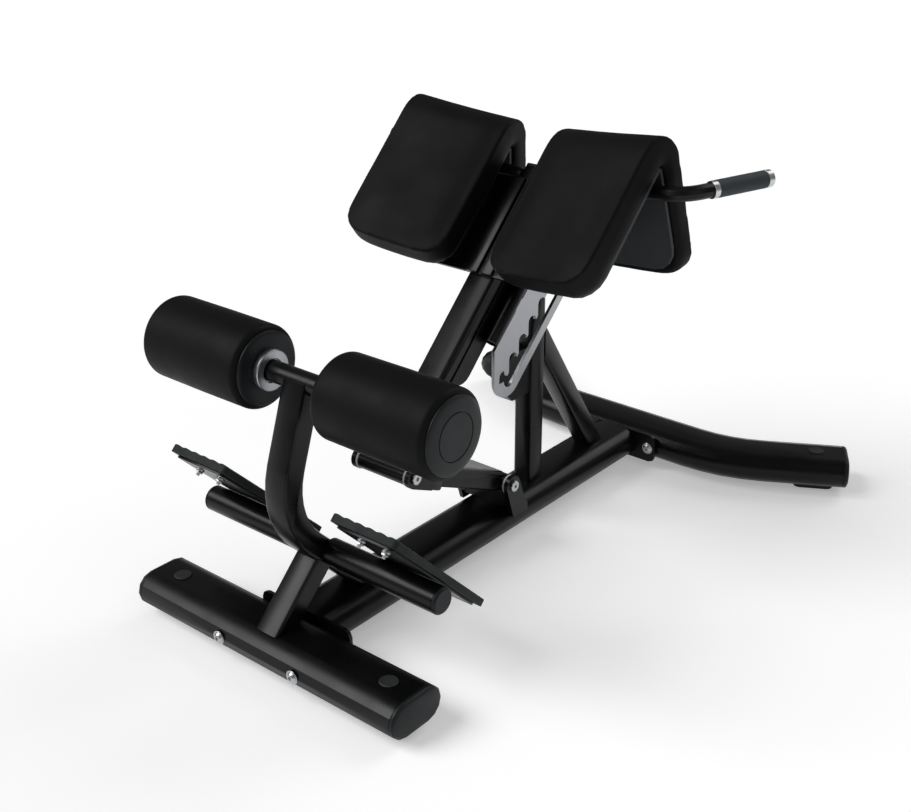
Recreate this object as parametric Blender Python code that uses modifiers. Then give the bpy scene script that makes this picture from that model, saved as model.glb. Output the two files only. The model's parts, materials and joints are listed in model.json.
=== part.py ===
"""Back extension machine: a 45 degree hyperextension bench.

Metres, +Z up. +Y runs from the user's end (foot plates, rear stabiliser) to the far end
(front foot), +X is the user's right. The machine's centre plane is X = 0.
Sizes along Y are first given from the rear stabiliser's centre line; an empty named
machine_origin then moves the model so that its origin lies on the floor under the
middle of its length.

Fixed: the welded base with column, foot bar, foot plates and post.
Moving: the swing link on the base, the pad frame on the link, and two foam rollers.
"""

from math import atan, cos, pi, radians, sin, sqrt, tan

import bmesh
import bpy
from mathutils import Matrix, Vector

GAP = 0.0003
ROUND_SIDES = 20
SHAFT_SIDES = 16
BOLT_SIDES = 12
SCREW_SIDES = 8
GRIP_SIDES = 16
CUTTER_SIZE = 0.4
MITRE_LIMIT = 0.3
EMPTY_SIZE = 0.05

# Flat oval base tubes
OVAL_WIDTH = 0.1048
OVAL_HEIGHT = 0.058
OVAL_WALL = 0.0025
OVAL_SIDES = 6
TUBE_CLEARANCE = 0.0128
STABILISER_LENGTH = 0.5534
OVAL_CAP_THICK = 0.009
OVAL_CAP_ROUND = 0.005

# Front foot, bent forward at both ends
FRONT_FOOT_Y = 0.9642
FRONT_VERTEX_X = 0.2165
FRONT_BEND_ANGLE = 29.7
FRONT_BEND_RADIUS = 0.276
FRONT_ARM_LENGTH = 0.2295
FRONT_BEND_STEPS = 4

# Flange plates between the tubes, and their bolts
FLANGE_THICK = 0.006
FLANGE_WIDTH = 0.190
FLANGE_HEIGHT = 0.056
FLANGE_CORNER = 0.012
FLANGE_WINDOW_RADIUS = 0.015
FLANGE_BOLT_X = 0.0796
FLANGE_BOLT_RADIUS = 0.005
FLANGE_BOLT_HEAD_RADIUS = 0.0088
FLANGE_BOLT_HEAD_HEIGHT = 0.0055
FLANGE_NUT_HEIGHT = 0.008
BOLT_CLEARANCE = 0.0004

# Feet under the oval tubes, with a stem and a plug on top
FOOT_LENGTH = 0.073
FOOT_WIDTH = 0.037
FOOT_CORNER = 0.012
FOOT_STEM_RADIUS = 0.009
PLUG_RADIUS = 0.0145
PLUG_HEIGHT = 0.0018
REAR_FOOT_X = 0.2223
FRONT_FOOT_PAD_INSET = 0.0597

# Rear leg
LEG_WIDTH = 0.045
LEG_DEPTH = 0.038
LEG_ANGLE = 45.0
LEG_CENTRE_Y = -0.0025
LEG_REACH = 0.128
BOX_WALL = 0.0025
BOX_CORNER = 0.005

# Column, a bent box tube from the rail to the crossbar
COLUMN_WIDTH = 0.045
COLUMN_DEPTH = 0.038
COLUMN_LEAN = 71.2
COLUMN_TOE_ANGLE = 45.0
COLUMN_TOE_Y = 0.182
COLUMN_BEND_RADIUS = 0.130
COLUMN_BEND_STEPS = 7

# Leg rollers and the crossbar that carries them
ROLLER_Y = 0.0745
ROLLER_Z = 0.4463
ROLLER_RADIUS = 0.0634
ROLLER_INNER_X = 0.0712
ROLLER_OUTER_X = 0.2854
ROLLER_EDGE = 0.008
ROLLER_CAP_RADIUS = 0.0570
ROLLER_CAP_THICK = 0.0044
ROLLER_CAP_EDGE = 0.003
ROLLER_BOSS_RADIUS = 0.034
ROLLER_BOSS_HEIGHT = 0.0012
ROLLER_SLEEVE_RADIUS = 0.022
ROLLER_SIDES = 24
CROSSBAR_RADIUS = 0.0165
CROSSBAR_BORE_RADIUS = 0.009
CROSSBAR_HALF = 0.060
DISC_RADIUS = 0.0315
DISC_EDGE = 0.002
AXLE_RADIUS = 0.0125
AXLE_CLEARANCE = 0.0005
AXLE_END_CLEARANCE = 0.003

# Foot bar and foot plates
FOOT_BAR_Y = 0.0936
FOOT_BAR_Z = 0.1654
FOOT_BAR_RADIUS = 0.0212
FOOT_BAR_WALL = 0.0025
FOOT_BAR_HALF = 0.2390
FOOT_BAR_CAP_THICK = 0.006
FOOT_BAR_CAP_ROUND = 0.003
FOOT_PLATE_ANGLE = 45.0
FOOT_PLATE_INNER_X = 0.1093
FOOT_PLATE_OUTER_X = 0.2334
FOOT_PLATE_LENGTH = 0.270
FOOT_PLATE_ABOVE_BAR = 0.1488
FOOT_PLATE_THICK = 0.013
FOOT_PLATE_CORNER = 0.008
FOOT_BACKING_THICK = 0.004
FOOT_BACKING_INSET = 0.009
FOOT_SCREW_SPACING = 0.047
FOOT_SCREW_FROM_END = 0.0405
FOOT_SCREW_RADIUS = 0.003
FOOT_SCREW_HEAD_RADIUS = 0.006
FOOT_SCREW_HEAD_HEIGHT = 0.0105
FOOT_SCREW_HEAD_ROUND = 0.002
FOOT_SCREW_IN_PLATE = 0.006

# Post, strut and the rubber stop on the post
POST_SIZE = 0.038
POST_Y = 0.6206
POST_TOP_Z = 0.472
STRUT_TOP_Z = 0.370
STRUT_ANGLE = 56.5
STOP_BRACKET_Y = 0.552
STOP_BRACKET_TOP_Z = 0.337
STOP_BRACKET_BOTTOM_Z = 0.2495
STOP_BRACKET_CHAMFER = 0.0125
STOP_RADIUS = 0.020
STOP_LENGTH = 0.036
STOP_ROUND = 0.014
STOP_Z = 0.324

# Pivots of the swing link
PIVOT_LOW_Y = 0.4983
PIVOT_LOW_Z = 0.1218
PIVOT_HIGH_Y = 0.2450
PIVOT_HIGH_Z = 0.2396
BARREL_HALF = 0.048
BARREL_RADIUS = 0.016
BUSH_RADIUS = 0.0095
BUSH_FLANGE_RADIUS = 0.0172
PIVOT_BOLT_RADIUS = 0.006
PIVOT_HEAD_RADIUS = 0.0100
PIVOT_HEAD_HEIGHT = 0.0045
PIVOT_HEAD_ROUND = 0.002
EAR_THICK = 0.008
EAR_RADIUS = 0.018
PIVOT_CLEARANCE = 0.0004

# Swing link
LINK_HALF_WIDTH = 0.039
LINK_DEPTH = 0.036
LINK_EDGE = 0.006
FORK_START = 0.026
FORK_LENGTH = 0.050
FORK_EDGE = 0.004

# Bracket of the lower pivot, a saddle over the rail
BRACKET_PLATE = 0.006
BRACKET_FRONT_Y = 0.500
BRACKET_BACK_Y = 0.540
BRACKET_LOW_Z = 0.058
BRACKET_SHOULDER_Z = 0.079
BRACKET_SHOULDER_ROUND = 0.008
BRACKET_FACE_TOP_Z = 0.100
BUFFER_X = -0.0440
BUFFER_Z = 0.089
BUFFER_RADIUS = 0.0075
BUFFER_LENGTH = 0.013
BUFFER_ROUND = 0.002

# Seat tube, at 45 degrees through the upper pivot
SEAT_ANGLE = 45.0
SEAT_WIDTH = 0.050
SEAT_DEPTH = 0.030
SEAT_OFFSET = 0.0005
SEAT_END_BEFORE_VERTEX = 0.0275
SEAT_CAP_THICK = 0.006
CHANNEL_DEPTH = 0.0354
CHANNEL_START = 0.169
CHANNEL_END = 0.533
CHANNEL_ROUND = 0.030
SIDE_TUBE_RADIUS = 0.0125
SIDE_TUBE_WALL = 0.002
SIDE_TUBE_START = 0.261
SIDE_TUBE_END = 0.525
SIDE_TUBE_BELOW = 0.0285

# Notched plate, carried by the side tube; the latch pin stands in one of its notches
PLATE_THICK = 0.006
PLATE_FACE_X = 0.040
NOTCH_COUNT = 6
NOTCH_PITCH = 0.0364
NOTCH_ANGLE = 43.8
NOTCH_WIDTH = 0.0215
NOTCH_FIRST_Y = 0.4925
NOTCH_FIRST_Z = 0.3330
NOTCH_DEPTH = 0.0125
LAST_TOOTH_TOP = 0.021
LAST_TOOTH_CUT = 0.006
NOTCH_ROUND = 0.0100
LAST_NOTCH_ROUND = 0.0068
CHANNEL_SLOT_WIDTH = 0.0250
SLOT_LOW_OFFSET = -0.004
SLOT_HIGH_OFFSET = 0.016
PLATE_LOW_OFFSET = -0.002
NOTCH_REACH_BACK = 0.033
FIRST_NOTCH_REACH = 0.020
NOTCH_REACH_FRONT = 0.026
PLATE_STRIP_WIDTH = 0.0165
PLATE_BACK_WIDTH = 0.0475
PLATE_LOW_RADIUS = 0.0355
PLATE_ABOVE_LAST = 0.060
PLATE_LUG_PLACES = (0.345, 0.455)
PLATE_LUG_LENGTH = 0.024
PLATE_LUG_DEPTH = 0.014
LATCH_RADIUS = 0.005
LATCH_CLEARANCE = 0.0043
LATCH_INSET = 0.001
LATCH_PROUD = 0.004

# Wing plate and hip pads
WING_THICK = 0.0054
WING_HALF = 0.095
WING_START = 0.348
WING_BEFORE_VERTEX = 0.0545
RIB_INNER_X = 0.003
RIB_OUTER_X = 0.026
RIB_HEIGHT = 0.005
RIB_EDGE = 0.0015
PAD_CANT = 8.7
PAD_INNER_X = 0.050
PAD_ABOVE_SEAT = 0.014
PAD_WIDTH = 0.207
PAD_THICK = 0.052
PAD_START = 0.3290
PAD_VERTEX = 0.5855
PAD_TURN = 124.4
PAD_FAR_LENGTH = 0.193
PAD_FAR_THICK = 0.038
PAD_INNER_BEND = 0.004
PAD_CROWN = 0.005
PAD_DRAW_IN = 0.007
PAD_CORNER = 0.048
PAD_EDGE = 0.022
PAD_LAYERS = (0.30, 0.70)
RIDGE_STEPS = 3
RIDGE_HOLD = 0.010
PAD_BOARD_THICK = 0.006
PAD_BOARD_INSET = 0.010
PAD_BOARD_CORNER = 0.042
PAD_BOARD_TRIM = 0.0085
WEDGE_START = 0.365
WEDGE_BEFORE_VERTEX = 0.0705

# Handles
HANDLE_RADIUS = 0.0120
HANDLE_WALL = 0.002
HANDLE_BEFORE_VERTEX = 0.0407
HANDLE_ALONG_SEAT = PAD_VERTEX - HANDLE_BEFORE_VERTEX
HANDLE_BELOW_TOP = 0.0146
HANDLE_VERTEX_X = 0.298
HANDLE_BEND_RADIUS = 0.045
HANDLE_BEND_STEPS = 6
HANDLE_YAW = 69.0
HANDLE_RISE = 1.5
HANDLE_TO_COLLAR = 0.052
GRIP_RADIUS = 0.0142
GRIP_CORE_RADIUS = 0.011
GRIP_LENGTH = 0.097
COLLAR_LENGTH = 0.010
END_CAP_LENGTH = 0.012
END_CAP_ROUND = 0.002

# Values that follow from the sizes above
OVAL_CENTRE_Z = TUBE_CLEARANCE + OVAL_HEIGHT / 2
OVAL_TOP_Z = TUBE_CLEARANCE + OVAL_HEIGHT
HALF_OVAL = OVAL_WIDTH / 2
RAIL_START_Y = HALF_OVAL + GAP
RAIL_END_Y = FRONT_FOOT_Y - HALF_OVAL - GAP
EAR_INNER_X = HALF_OVAL + GAP
EAR_OUTER_X = EAR_INNER_X + EAR_THICK
FRONT_TURN = radians(FRONT_BEND_ANGLE)
FRONT_END_X = FRONT_VERTEX_X + FRONT_ARM_LENGTH * cos(FRONT_TURN)
FRONT_END_Y = FRONT_FOOT_Y + FRONT_ARM_LENGTH * sin(FRONT_TURN)
LENGTH_MIN_Y = -HALF_OVAL - GAP - FLANGE_BOLT_HEAD_HEIGHT
LENGTH_MAX_Y = FRONT_END_Y + HALF_OVAL * cos(FRONT_TURN)
ORIGIN_Y = (LENGTH_MIN_Y + LENGTH_MAX_Y) / 2
LINK_LENGTH = sqrt((PIVOT_LOW_Y - PIVOT_HIGH_Y) ** 2 + (PIVOT_HIGH_Z - PIVOT_LOW_Z) ** 2)

SEAT_LENGTH = PAD_VERTEX - SEAT_END_BEFORE_VERTEX
WING_END = PAD_VERTEX - WING_BEFORE_VERTEX
WEDGE_LENGTH = PAD_VERTEX - WEDGE_BEFORE_VERTEX - WEDGE_START
NEAR_LENGTH = PAD_VERTEX - PAD_INNER_BEND * tan(radians(PAD_TURN) / 2) - PAD_START
RIDGE_LENGTH = PAD_THICK
SLAB_LENGTH = NEAR_LENGTH + RIDGE_LENGTH + PAD_FAR_LENGTH

X_AXIS = Vector((1, 0, 0))
Y_AXIS = Vector((0, 1, 0))
Z_AXIS = Vector((0, 0, 1))
SLOPE = radians(SEAT_ANGLE)
UP_SLOPE = Vector((0, cos(SLOPE), sin(SLOPE)))
OUT_OF_SEAT = Vector((0, -sin(SLOPE), cos(SLOPE)))
PAD_ACROSS = X_AXIS * cos(radians(PAD_CANT)) + OUT_OF_SEAT * sin(radians(PAD_CANT))
PAD_OUT = PAD_ACROSS.cross(UP_SLOPE)
SEAT_ORIGIN = Vector((0, PIVOT_HIGH_Y, PIVOT_HIGH_Z))
SEAT_TOP = SEAT_DEPTH / 2 - SEAT_OFFSET


def start_scene():
    """Empty the scene and make the two collections."""
    for item in list(bpy.data.objects):
        bpy.data.objects.remove(item)
    made = []
    for name in ("back_extension_machine", "cutters"):
        collection = bpy.data.collections.new(name)
        bpy.context.scene.collection.children.link(collection)
        made.append(collection)
    return made


PARTS, CUTTERS = start_scene()


def empty(name, place, parent=None):
    """An empty on a joint's axis, or at the model's origin."""
    item = bpy.data.objects.new(name, None)
    item.location = place
    item.empty_display_size = EMPTY_SIZE
    item.parent = parent
    PARTS.objects.link(item)
    return item


MACHINE = empty("machine_origin", (0, -ORIGIN_Y, 0))
LINK_PIVOT = empty("link_pivot", (0, PIVOT_LOW_Y, PIVOT_LOW_Z), MACHINE)
SEAT_PIVOT = empty("seat_pivot", (0, PIVOT_HIGH_Y, PIVOT_HIGH_Z), MACHINE)
ROLLER_AXIS = empty("roller_axis", (0, ROLLER_Y, ROLLER_Z), MACHINE)


def colour(code):
    """A linear colour from an sRGB hex code."""
    values = [int(code[i:i + 2], 16) / 255 for i in (0, 2, 4)]
    linear = [v / 12.92 if v <= 0.04045 else ((v + 0.055) / 1.055) ** 2.4 for v in values]
    return (*linear, 1.0)


FINISHES = {
    "frame": ("17191b", 0.0, 0.32),
    "plastic": ("2b2f30", 0.0, 0.45),
    "rubber": ("1c1d1e", 0.0, 0.75),
    "foam": ("161617", 0.0, 0.80),
    "vinyl": ("141415", 0.0, 0.55),
    "board": ("3a3b3c", 0.0, 0.70),
    "tread": ("3f4647", 0.0, 0.60),
    "steel": ("8f949a", 1.0, 0.35),
    "chrome": ("c9ccd0", 1.0, 0.15),
    "aluminium": ("b9bcc0", 1.0, 0.30),
    "nylon": ("d8d8d4", 0.0, 0.40),
    "grip": ("3b4145", 0.0, 0.65),
}


def finish(item, look):
    """Give one object its own material and smooth its round faces."""
    code, metallic, roughness = FINISHES[look]
    material = bpy.data.materials.new(item.name + "_" + look)
    material.use_nodes = True
    shader = material.node_tree.nodes["Principled BSDF"]
    shader.inputs["Base Color"].default_value = colour(code)
    shader.inputs["Metallic"].default_value = metallic
    shader.inputs["Roughness"].default_value = roughness
    material.diffuse_color = colour(code)
    item.data.materials.clear()
    item.data.materials.append(material)
    item.data.shade_smooth()
    item.data.set_sharp_from_angle(angle=radians(35))


def place(item, look, parent=MACHINE):
    """Put a finished piece in the model under the empty that it moves with."""
    item.parent = parent
    if parent is not MACHINE:
        item.matrix_parent_inverse = Matrix.Translation(-parent.location)
    PARTS.objects.link(item)
    finish(item, look)
    return item


def hide(item):
    """Keep a cutter, or a shape that is joined to another, out of the model."""
    item.parent = MACHINE
    item.hide_render = True
    item.display_type = "WIRE"
    CUTTERS.objects.link(item)
    return item


def combine(item, other, operation):
    """Cut another shape out of an object, or join it on."""
    modifier = item.modifiers.new(operation.title(), "BOOLEAN")
    modifier.operation = operation
    modifier.solver = "EXACT"
    modifier.object = other
    return item


def cut(item, *cutters):
    for cutter in cutters:
        combine(item, cutter, "DIFFERENCE")
    return item


def join(item, *others):
    for other in others:
        combine(item, other, "UNION")
    return item


def frame(origin, along, up):
    """A matrix whose local Z is along, whose local Y is up, placed at origin."""
    along = along.normalized()
    side = up.cross(along).normalized()
    up = along.cross(side)
    matrix = Matrix((side, up, along)).transposed().to_4x4()
    matrix.translation = origin
    return matrix


def mesh_object(name, mesh, matrix):
    item = bpy.data.objects.new(name, mesh)
    item.matrix_basis = matrix
    return item


def from_curve(name, curve, matrix):
    """A mesh object from a curve, with its caps welded to its sides."""
    item = bpy.data.objects.new(name, curve)
    item.matrix_world = matrix
    bpy.context.scene.collection.objects.link(item)
    bpy.context.view_layer.update()
    graph = bpy.context.evaluated_depsgraph_get()
    mesh = bpy.data.meshes.new_from_object(item.evaluated_get(graph))
    world = item.matrix_world.copy()
    bpy.data.objects.remove(item)
    shape = bmesh.new()
    shape.from_mesh(mesh)
    bmesh.ops.remove_doubles(shape, verts=shape.verts, dist=1e-6)
    bmesh.ops.recalc_face_normals(shape, faces=shape.faces)
    shape.to_mesh(mesh)
    shape.free()
    return mesh_object(name, mesh, world)


def poly_spline(curve, points, cyclic):
    spline = curve.splines.new("POLY")
    spline.points.add(len(points) - 1)
    for target, point in zip(spline.points, points):
        target.co = (*point, 1.0) if len(point) == 3 else (*point, 0.0, 1.0)
    spline.use_cyclic_u = cyclic
    return spline


def flat(name, outlines, thickness, matrix):
    """A flat outline, with any holes in it, extruded to a thickness about its middle."""
    curve = bpy.data.curves.new(name, "CURVE")
    curve.dimensions = "2D"
    curve.fill_mode = "BOTH"
    curve.extrude = thickness / 2
    for outline in outlines:
        poly_spline(curve, outline, True)
    return from_curve(name, curve, matrix)


def swept(name, points, radius, wall, sides):
    """A round tube along a path, open at its ends when it has a wall."""
    curve = bpy.data.curves.new(name, "CURVE")
    curve.dimensions = "3D"
    curve.bevel_depth = radius
    curve.bevel_resolution = sides // 4 - 1
    curve.use_fill_caps = wall is None
    poly_spline(curve, points, False)
    item = from_curve(name, curve, Matrix())
    if wall is not None:
        thicken(item, wall)
    return item


def swept_outline(name, outline, points, wall, twist):
    """A tube of any outline along a path, solid when wall is None."""
    guide_curve = bpy.data.curves.new(name + "_outline", "CURVE")
    guide_curve.dimensions = "2D"
    guide_curve.fill_mode = "NONE"
    poly_spline(guide_curve, outline, True)
    guide = hide(bpy.data.objects.new(name + "_outline", guide_curve))
    curve = bpy.data.curves.new(name, "CURVE")
    curve.dimensions = "3D"
    curve.twist_mode = twist
    curve.bevel_mode = "OBJECT"
    curve.bevel_object = guide
    curve.use_fill_caps = wall is None
    poly_spline(curve, points, False)
    item = from_curve(name, curve, Matrix())
    if wall is not None:
        thicken(item, wall)
    return item


def thicken(item, wall):
    """Turn an open surface into a shell that grows inward."""
    modifier = item.modifiers.new("Wall", "SOLIDIFY")
    modifier.thickness = wall
    modifier.offset = -1
    modifier.use_even_offset = True


def arc(centre, radius, start, end, steps):
    """Points of an arc, in degrees, both ends included."""
    points = []
    for i in range(steps + 1):
        angle = radians(start + (end - start) * i / steps)
        points.append((centre[0] + radius * cos(angle), centre[1] + radius * sin(angle)))
    return points


def fillet(before, corner, after, radius, steps):
    """Points of an arc that rounds a corner in space."""
    first = (corner - before).normalized()
    second = (after - corner).normalized()
    angle = first.angle(second)
    reach = radius * tan(angle / 2)
    normal = (second - first * second.dot(first)).normalized()
    centre = corner - first * reach + normal * radius
    return [
        centre - normal * radius * cos(angle * i / steps) + first * radius * sin(angle * i / steps)
        for i in range(steps + 1)]


def circle(radius, sides):
    return arc((0, 0), radius, 0, 360 - 360 / sides, sides - 1)


def rounded(width, height, radius, steps=2):
    """A rectangle with round corners, centred."""
    points = []
    for k, (u, v) in enumerate(((1, 1), (-1, 1), (-1, -1), (1, -1))):
        centre = (u * (width / 2 - radius), v * (height / 2 - radius))
        points += arc(centre, radius, 90 * k, 90 * (k + 1), steps)
    return points


def oval(width, height, steps=OVAL_SIDES):
    """A flat oval: two half circles joined by straight lines."""
    reach = (width - height) / 2
    right = arc((reach, 0), height / 2, -90, 90, steps)
    return right + arc((-reach, 0), height / 2, 90, 270, steps)


def block(name, size, matrix, edge=0.0):
    """A box, with its edges rounded when edge is given."""
    shape = bmesh.new()
    bmesh.ops.create_cube(shape, size=1.0, matrix=Matrix.Diagonal((*size, 1.0)))
    mesh = bpy.data.meshes.new(name)
    shape.to_mesh(mesh)
    shape.free()
    item = mesh_object(name, mesh, matrix)
    if edge:
        round_edges(item, edge, 2)
    return item


def beyond(name, point, way):
    """A large block that fills the space beyond a plane, to cut with."""
    middle = Vector(point) + way * CUTTER_SIZE / 2
    return hide(block(name, (CUTTER_SIZE,) * 3, frame(middle, way, X_AXIS)))


def round_edges(item, width, segments, angle=50):
    modifier = item.modifiers.new("Round", "BEVEL")
    modifier.width = width
    modifier.segments = segments
    modifier.limit_method = "ANGLE"
    modifier.angle_limit = radians(angle)
    return item


def rod(name, radius, length, matrix, sides=ROUND_SIDES):
    """A solid cylinder about its middle, along local Z."""
    shape = bmesh.new()
    bmesh.ops.create_cone(
        shape, cap_ends=True, segments=sides, radius1=radius, radius2=radius, depth=length)
    mesh = bpy.data.meshes.new(name)
    shape.to_mesh(mesh)
    shape.free()
    return mesh_object(name, mesh, matrix)


def turned(name, profile, matrix, sides, ring=False):
    """A turned solid from (radius, height) points; the axis is local Z."""
    shape = bmesh.new()
    points = [shape.verts.new((r, 0, h)) for r, h in profile]
    pairs = list(zip(points, points[1:]))
    if ring:
        pairs.append((points[-1], points[0]))
    for a, b in pairs:
        shape.edges.new((a, b))
    mesh = bpy.data.meshes.new(name)
    shape.to_mesh(mesh)
    shape.free()
    item = mesh_object(name, mesh, matrix)
    modifier = item.modifiers.new("Turn", "SCREW")
    modifier.steps = sides
    modifier.render_steps = sides
    modifier.use_merge_vertices = True
    modifier.merge_threshold = 0.00001
    return item


def box_tube(name, width, depth, length, matrix):
    """A box tube with round corners; width is local X, depth local Y."""
    outer = rounded(width, depth, BOX_CORNER)
    inner = rounded(width - 2 * BOX_WALL, depth - 2 * BOX_WALL, BOX_CORNER - BOX_WALL)
    return flat(name, (outer, inner), length, matrix)


def round_tube(name, radius, wall, length, matrix, sides=ROUND_SIDES):
    return flat(name, (circle(radius, sides), circle(radius - wall, sides)), length, matrix)


def across(x, y, z):
    """Local Z along world X, local Y along world Z."""
    return frame(Vector((x, y, z)), X_AXIS, Z_AXIS)


def side_plane(x):
    """For outlines given as (y, z) and extruded along X."""
    return Matrix(((0, 0, 1, x), (1, 0, 0, 0), (0, 1, 0, 0), (0, 0, 0, 1)))


def seat_point(along, above, x=0.0):
    """A point given along the seat tube from the upper pivot and above its top face."""
    return SEAT_ORIGIN + UP_SLOPE * along + OUT_OF_SEAT * (SEAT_TOP + above) + X_AXIS * x


def seat_frame(along, above, x=0.0):
    """Local X is world X, local Y points out of the seat tube's top, local Z up the slope."""
    matrix = Matrix((X_AXIS, OUT_OF_SEAT, UP_SLOPE)).transposed().to_4x4()
    flip = Matrix.Diagonal((-1, 1, 1, 1))
    turned_frame = matrix @ flip
    turned_frame.translation = seat_point(along, above, x)
    return turned_frame


def mirror_copy(item, name, look, parent=MACHINE):
    """The left-hand copy of a right-hand piece, with its modifiers already in its mesh."""
    bpy.context.view_layer.update()
    graph = bpy.context.evaluated_depsgraph_get()
    mesh = bpy.data.meshes.new_from_object(item.evaluated_get(graph))
    mesh.transform(Matrix.Scale(-1, 4, X_AXIS) @ item.matrix_basis)
    mesh.flip_normals()
    return place(mesh_object(name, mesh, Matrix()), look, parent)


def both_sides(item, name, look, parent=MACHINE):
    """Place a right-hand piece and its left-hand copy."""
    item.name = name + "_right"
    place(item, look, parent)
    mirror_copy(item, name + "_left", look, parent)


def oval_tube(name, length, matrix):
    """A straight flat oval tube; its width is local X and its height local Y."""
    inner = oval(OVAL_WIDTH - 2 * OVAL_WALL, OVAL_HEIGHT - 2 * OVAL_WALL)
    return flat(name, (oval(OVAL_WIDTH, OVAL_HEIGHT), inner), length, matrix)


def oval_cap(name, matrix):
    """A moulded end cap, rounded on its outer rim."""
    shape = flat(name, (oval(OVAL_WIDTH, OVAL_HEIGHT),), OVAL_CAP_THICK, matrix)
    cage = bmesh.new()
    cage.from_mesh(shape.data)
    rim = [
        edge for edge in cage.edges
        if all(v.co.z > 0 for v in edge.verts) and edge.calc_face_angle(0) > radians(60)]
    bmesh.ops.bevel(
        cage, geom=rim, offset=OVAL_CAP_ROUND, segments=2, profile=0.5, affect="EDGES")
    cage.to_mesh(shape.data)
    cage.free()
    return shape


def foot_and_hole(name, x, y, turn):
    """A rubber foot whose stem holds the plug on the tube's top, and the hole for the stem."""
    height = TUBE_CLEARANCE - GAP
    top = OVAL_TOP_Z + GAP
    profile = [
        (0, top + PLUG_HEIGHT),
        (PLUG_RADIUS - PLUG_HEIGHT, top + PLUG_HEIGHT),
        (PLUG_RADIUS, top + PLUG_HEIGHT * 0.4),
        (PLUG_RADIUS, top),
        (FOOT_STEM_RADIUS, top),
        (FOOT_STEM_RADIUS, height / 2),
        (0, height / 2),
    ]
    spot = Matrix.Translation((x, y, 0))
    outline = rounded(FOOT_LENGTH, FOOT_WIDTH, FOOT_CORNER, 3)
    pad_spot = Matrix.Translation((x, y, height / 2)) @ Matrix.Rotation(turn, 4, "Z")
    pad = flat(name, (outline,), height, pad_spot)
    join(pad, hide(turned(name + "_stem", profile, spot, ROUND_SIDES)))
    place(pad, "rubber")
    middle = Matrix.Translation((x, y, OVAL_CENTRE_Z))
    radius = FOOT_STEM_RADIUS + GAP
    return hide(rod(name + "_hole", radius, OVAL_HEIGHT + 0.02, middle))


def flange_bolt(name, x, head_y, nut_y):
    """A bolt along Y with its head at head_y and its nut at nut_y, and the hole for it."""
    length = nut_y - head_y
    profile = [
        (0, length + FLANGE_NUT_HEIGHT),
        (FLANGE_BOLT_RADIUS, length + FLANGE_NUT_HEIGHT),
        (FLANGE_BOLT_HEAD_RADIUS, length + FLANGE_NUT_HEIGHT * 0.8),
        (FLANGE_BOLT_HEAD_RADIUS, length),
        (FLANGE_BOLT_RADIUS, length),
        (FLANGE_BOLT_RADIUS, 0),
        (FLANGE_BOLT_HEAD_RADIUS, 0),
        (FLANGE_BOLT_HEAD_RADIUS * 0.9, -FLANGE_BOLT_HEAD_HEIGHT * 0.6),
        (FLANGE_BOLT_HEAD_RADIUS * 0.5, -FLANGE_BOLT_HEAD_HEIGHT),
        (0, -FLANGE_BOLT_HEAD_HEIGHT),
    ]
    spot = frame(Vector((x, head_y, OVAL_CENTRE_Z)), Y_AXIS, Z_AXIS)
    place(turned(name, profile, spot, BOLT_SIDES), "chrome")
    middle = frame(Vector((x, (head_y + nut_y) / 2, OVAL_CENTRE_Z)), Y_AXIS, Z_AXIS)
    middle = middle @ Matrix.Rotation(pi / BOLT_SIDES, 4, "Z")
    radius = FLANGE_BOLT_RADIUS + BOLT_CLEARANCE
    return hide(rod(name + "_hole", radius, length + 0.004, middle, BOLT_SIDES))


def build_base_tubes():
    """Stabiliser, rail with its flange plates, bent front foot, caps, feet and bolts."""
    tube_length = STABILISER_LENGTH - 2 * (OVAL_CAP_THICK + GAP)
    stabiliser = oval_tube("stabiliser_tube", tube_length, across(0, 0, OVAL_CENTRE_Z))
    place(stabiliser, "frame")

    cap_x = tube_length / 2 + GAP + OVAL_CAP_THICK / 2
    cap = oval_cap("stabiliser_cap", across(cap_x, 0, OVAL_CENTRE_Z))
    both_sides(cap, "stabiliser_cap", "plastic")

    rail_length = RAIL_END_Y - RAIL_START_Y
    rail_middle = Vector((0, (RAIL_START_Y + RAIL_END_Y) / 2, OVAL_CENTRE_Z))
    rail = oval_tube("rail_tube", rail_length, frame(rail_middle, Y_AXIS, Z_AXIS))
    place(rail, "frame")
    for name, y in (
            ("rear_flange_shape", RAIL_START_Y + FLANGE_THICK / 2),
            ("front_flange_shape", RAIL_END_Y - FLANGE_THICK / 2)):
        outline = rounded(FLANGE_WIDTH, FLANGE_HEIGHT, FLANGE_CORNER)
        spot = frame(Vector((0, y, OVAL_CENTRE_Z)), Y_AXIS, Z_AXIS)
        window = circle(FLANGE_WINDOW_RADIUS, BOLT_SIDES)
        join(rail, hide(flat(name, (outline, window), FLANGE_THICK, spot)))

    front = build_front_foot()
    build_front_caps()

    for side, name in ((1, "right"), (-1, "left")):
        hole = foot_and_hole("rear_foot_" + name, side * REAR_FOOT_X, 0, 0)
        cut(stabiliser, hole)
        inset = FRONT_FOOT_PAD_INSET
        x = side * (FRONT_END_X - inset * cos(FRONT_TURN))
        y = FRONT_END_Y - inset * sin(FRONT_TURN)
        cut(front, foot_and_hole("front_foot_pad_" + name, x, y, side * FRONT_TURN))

        hole = flange_bolt(
            "rear_bolt_" + name, side * FLANGE_BOLT_X,
            -HALF_OVAL - GAP, RAIL_START_Y + FLANGE_THICK + GAP)
        cut(stabiliser, hole)
        cut(rail, hole)
        hole = flange_bolt(
            "front_bolt_" + name, side * FLANGE_BOLT_X,
            RAIL_END_Y - FLANGE_THICK - GAP, FRONT_FOOT_Y + HALF_OVAL + GAP)
        cut(front, hole)
        cut(rail, hole)


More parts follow.
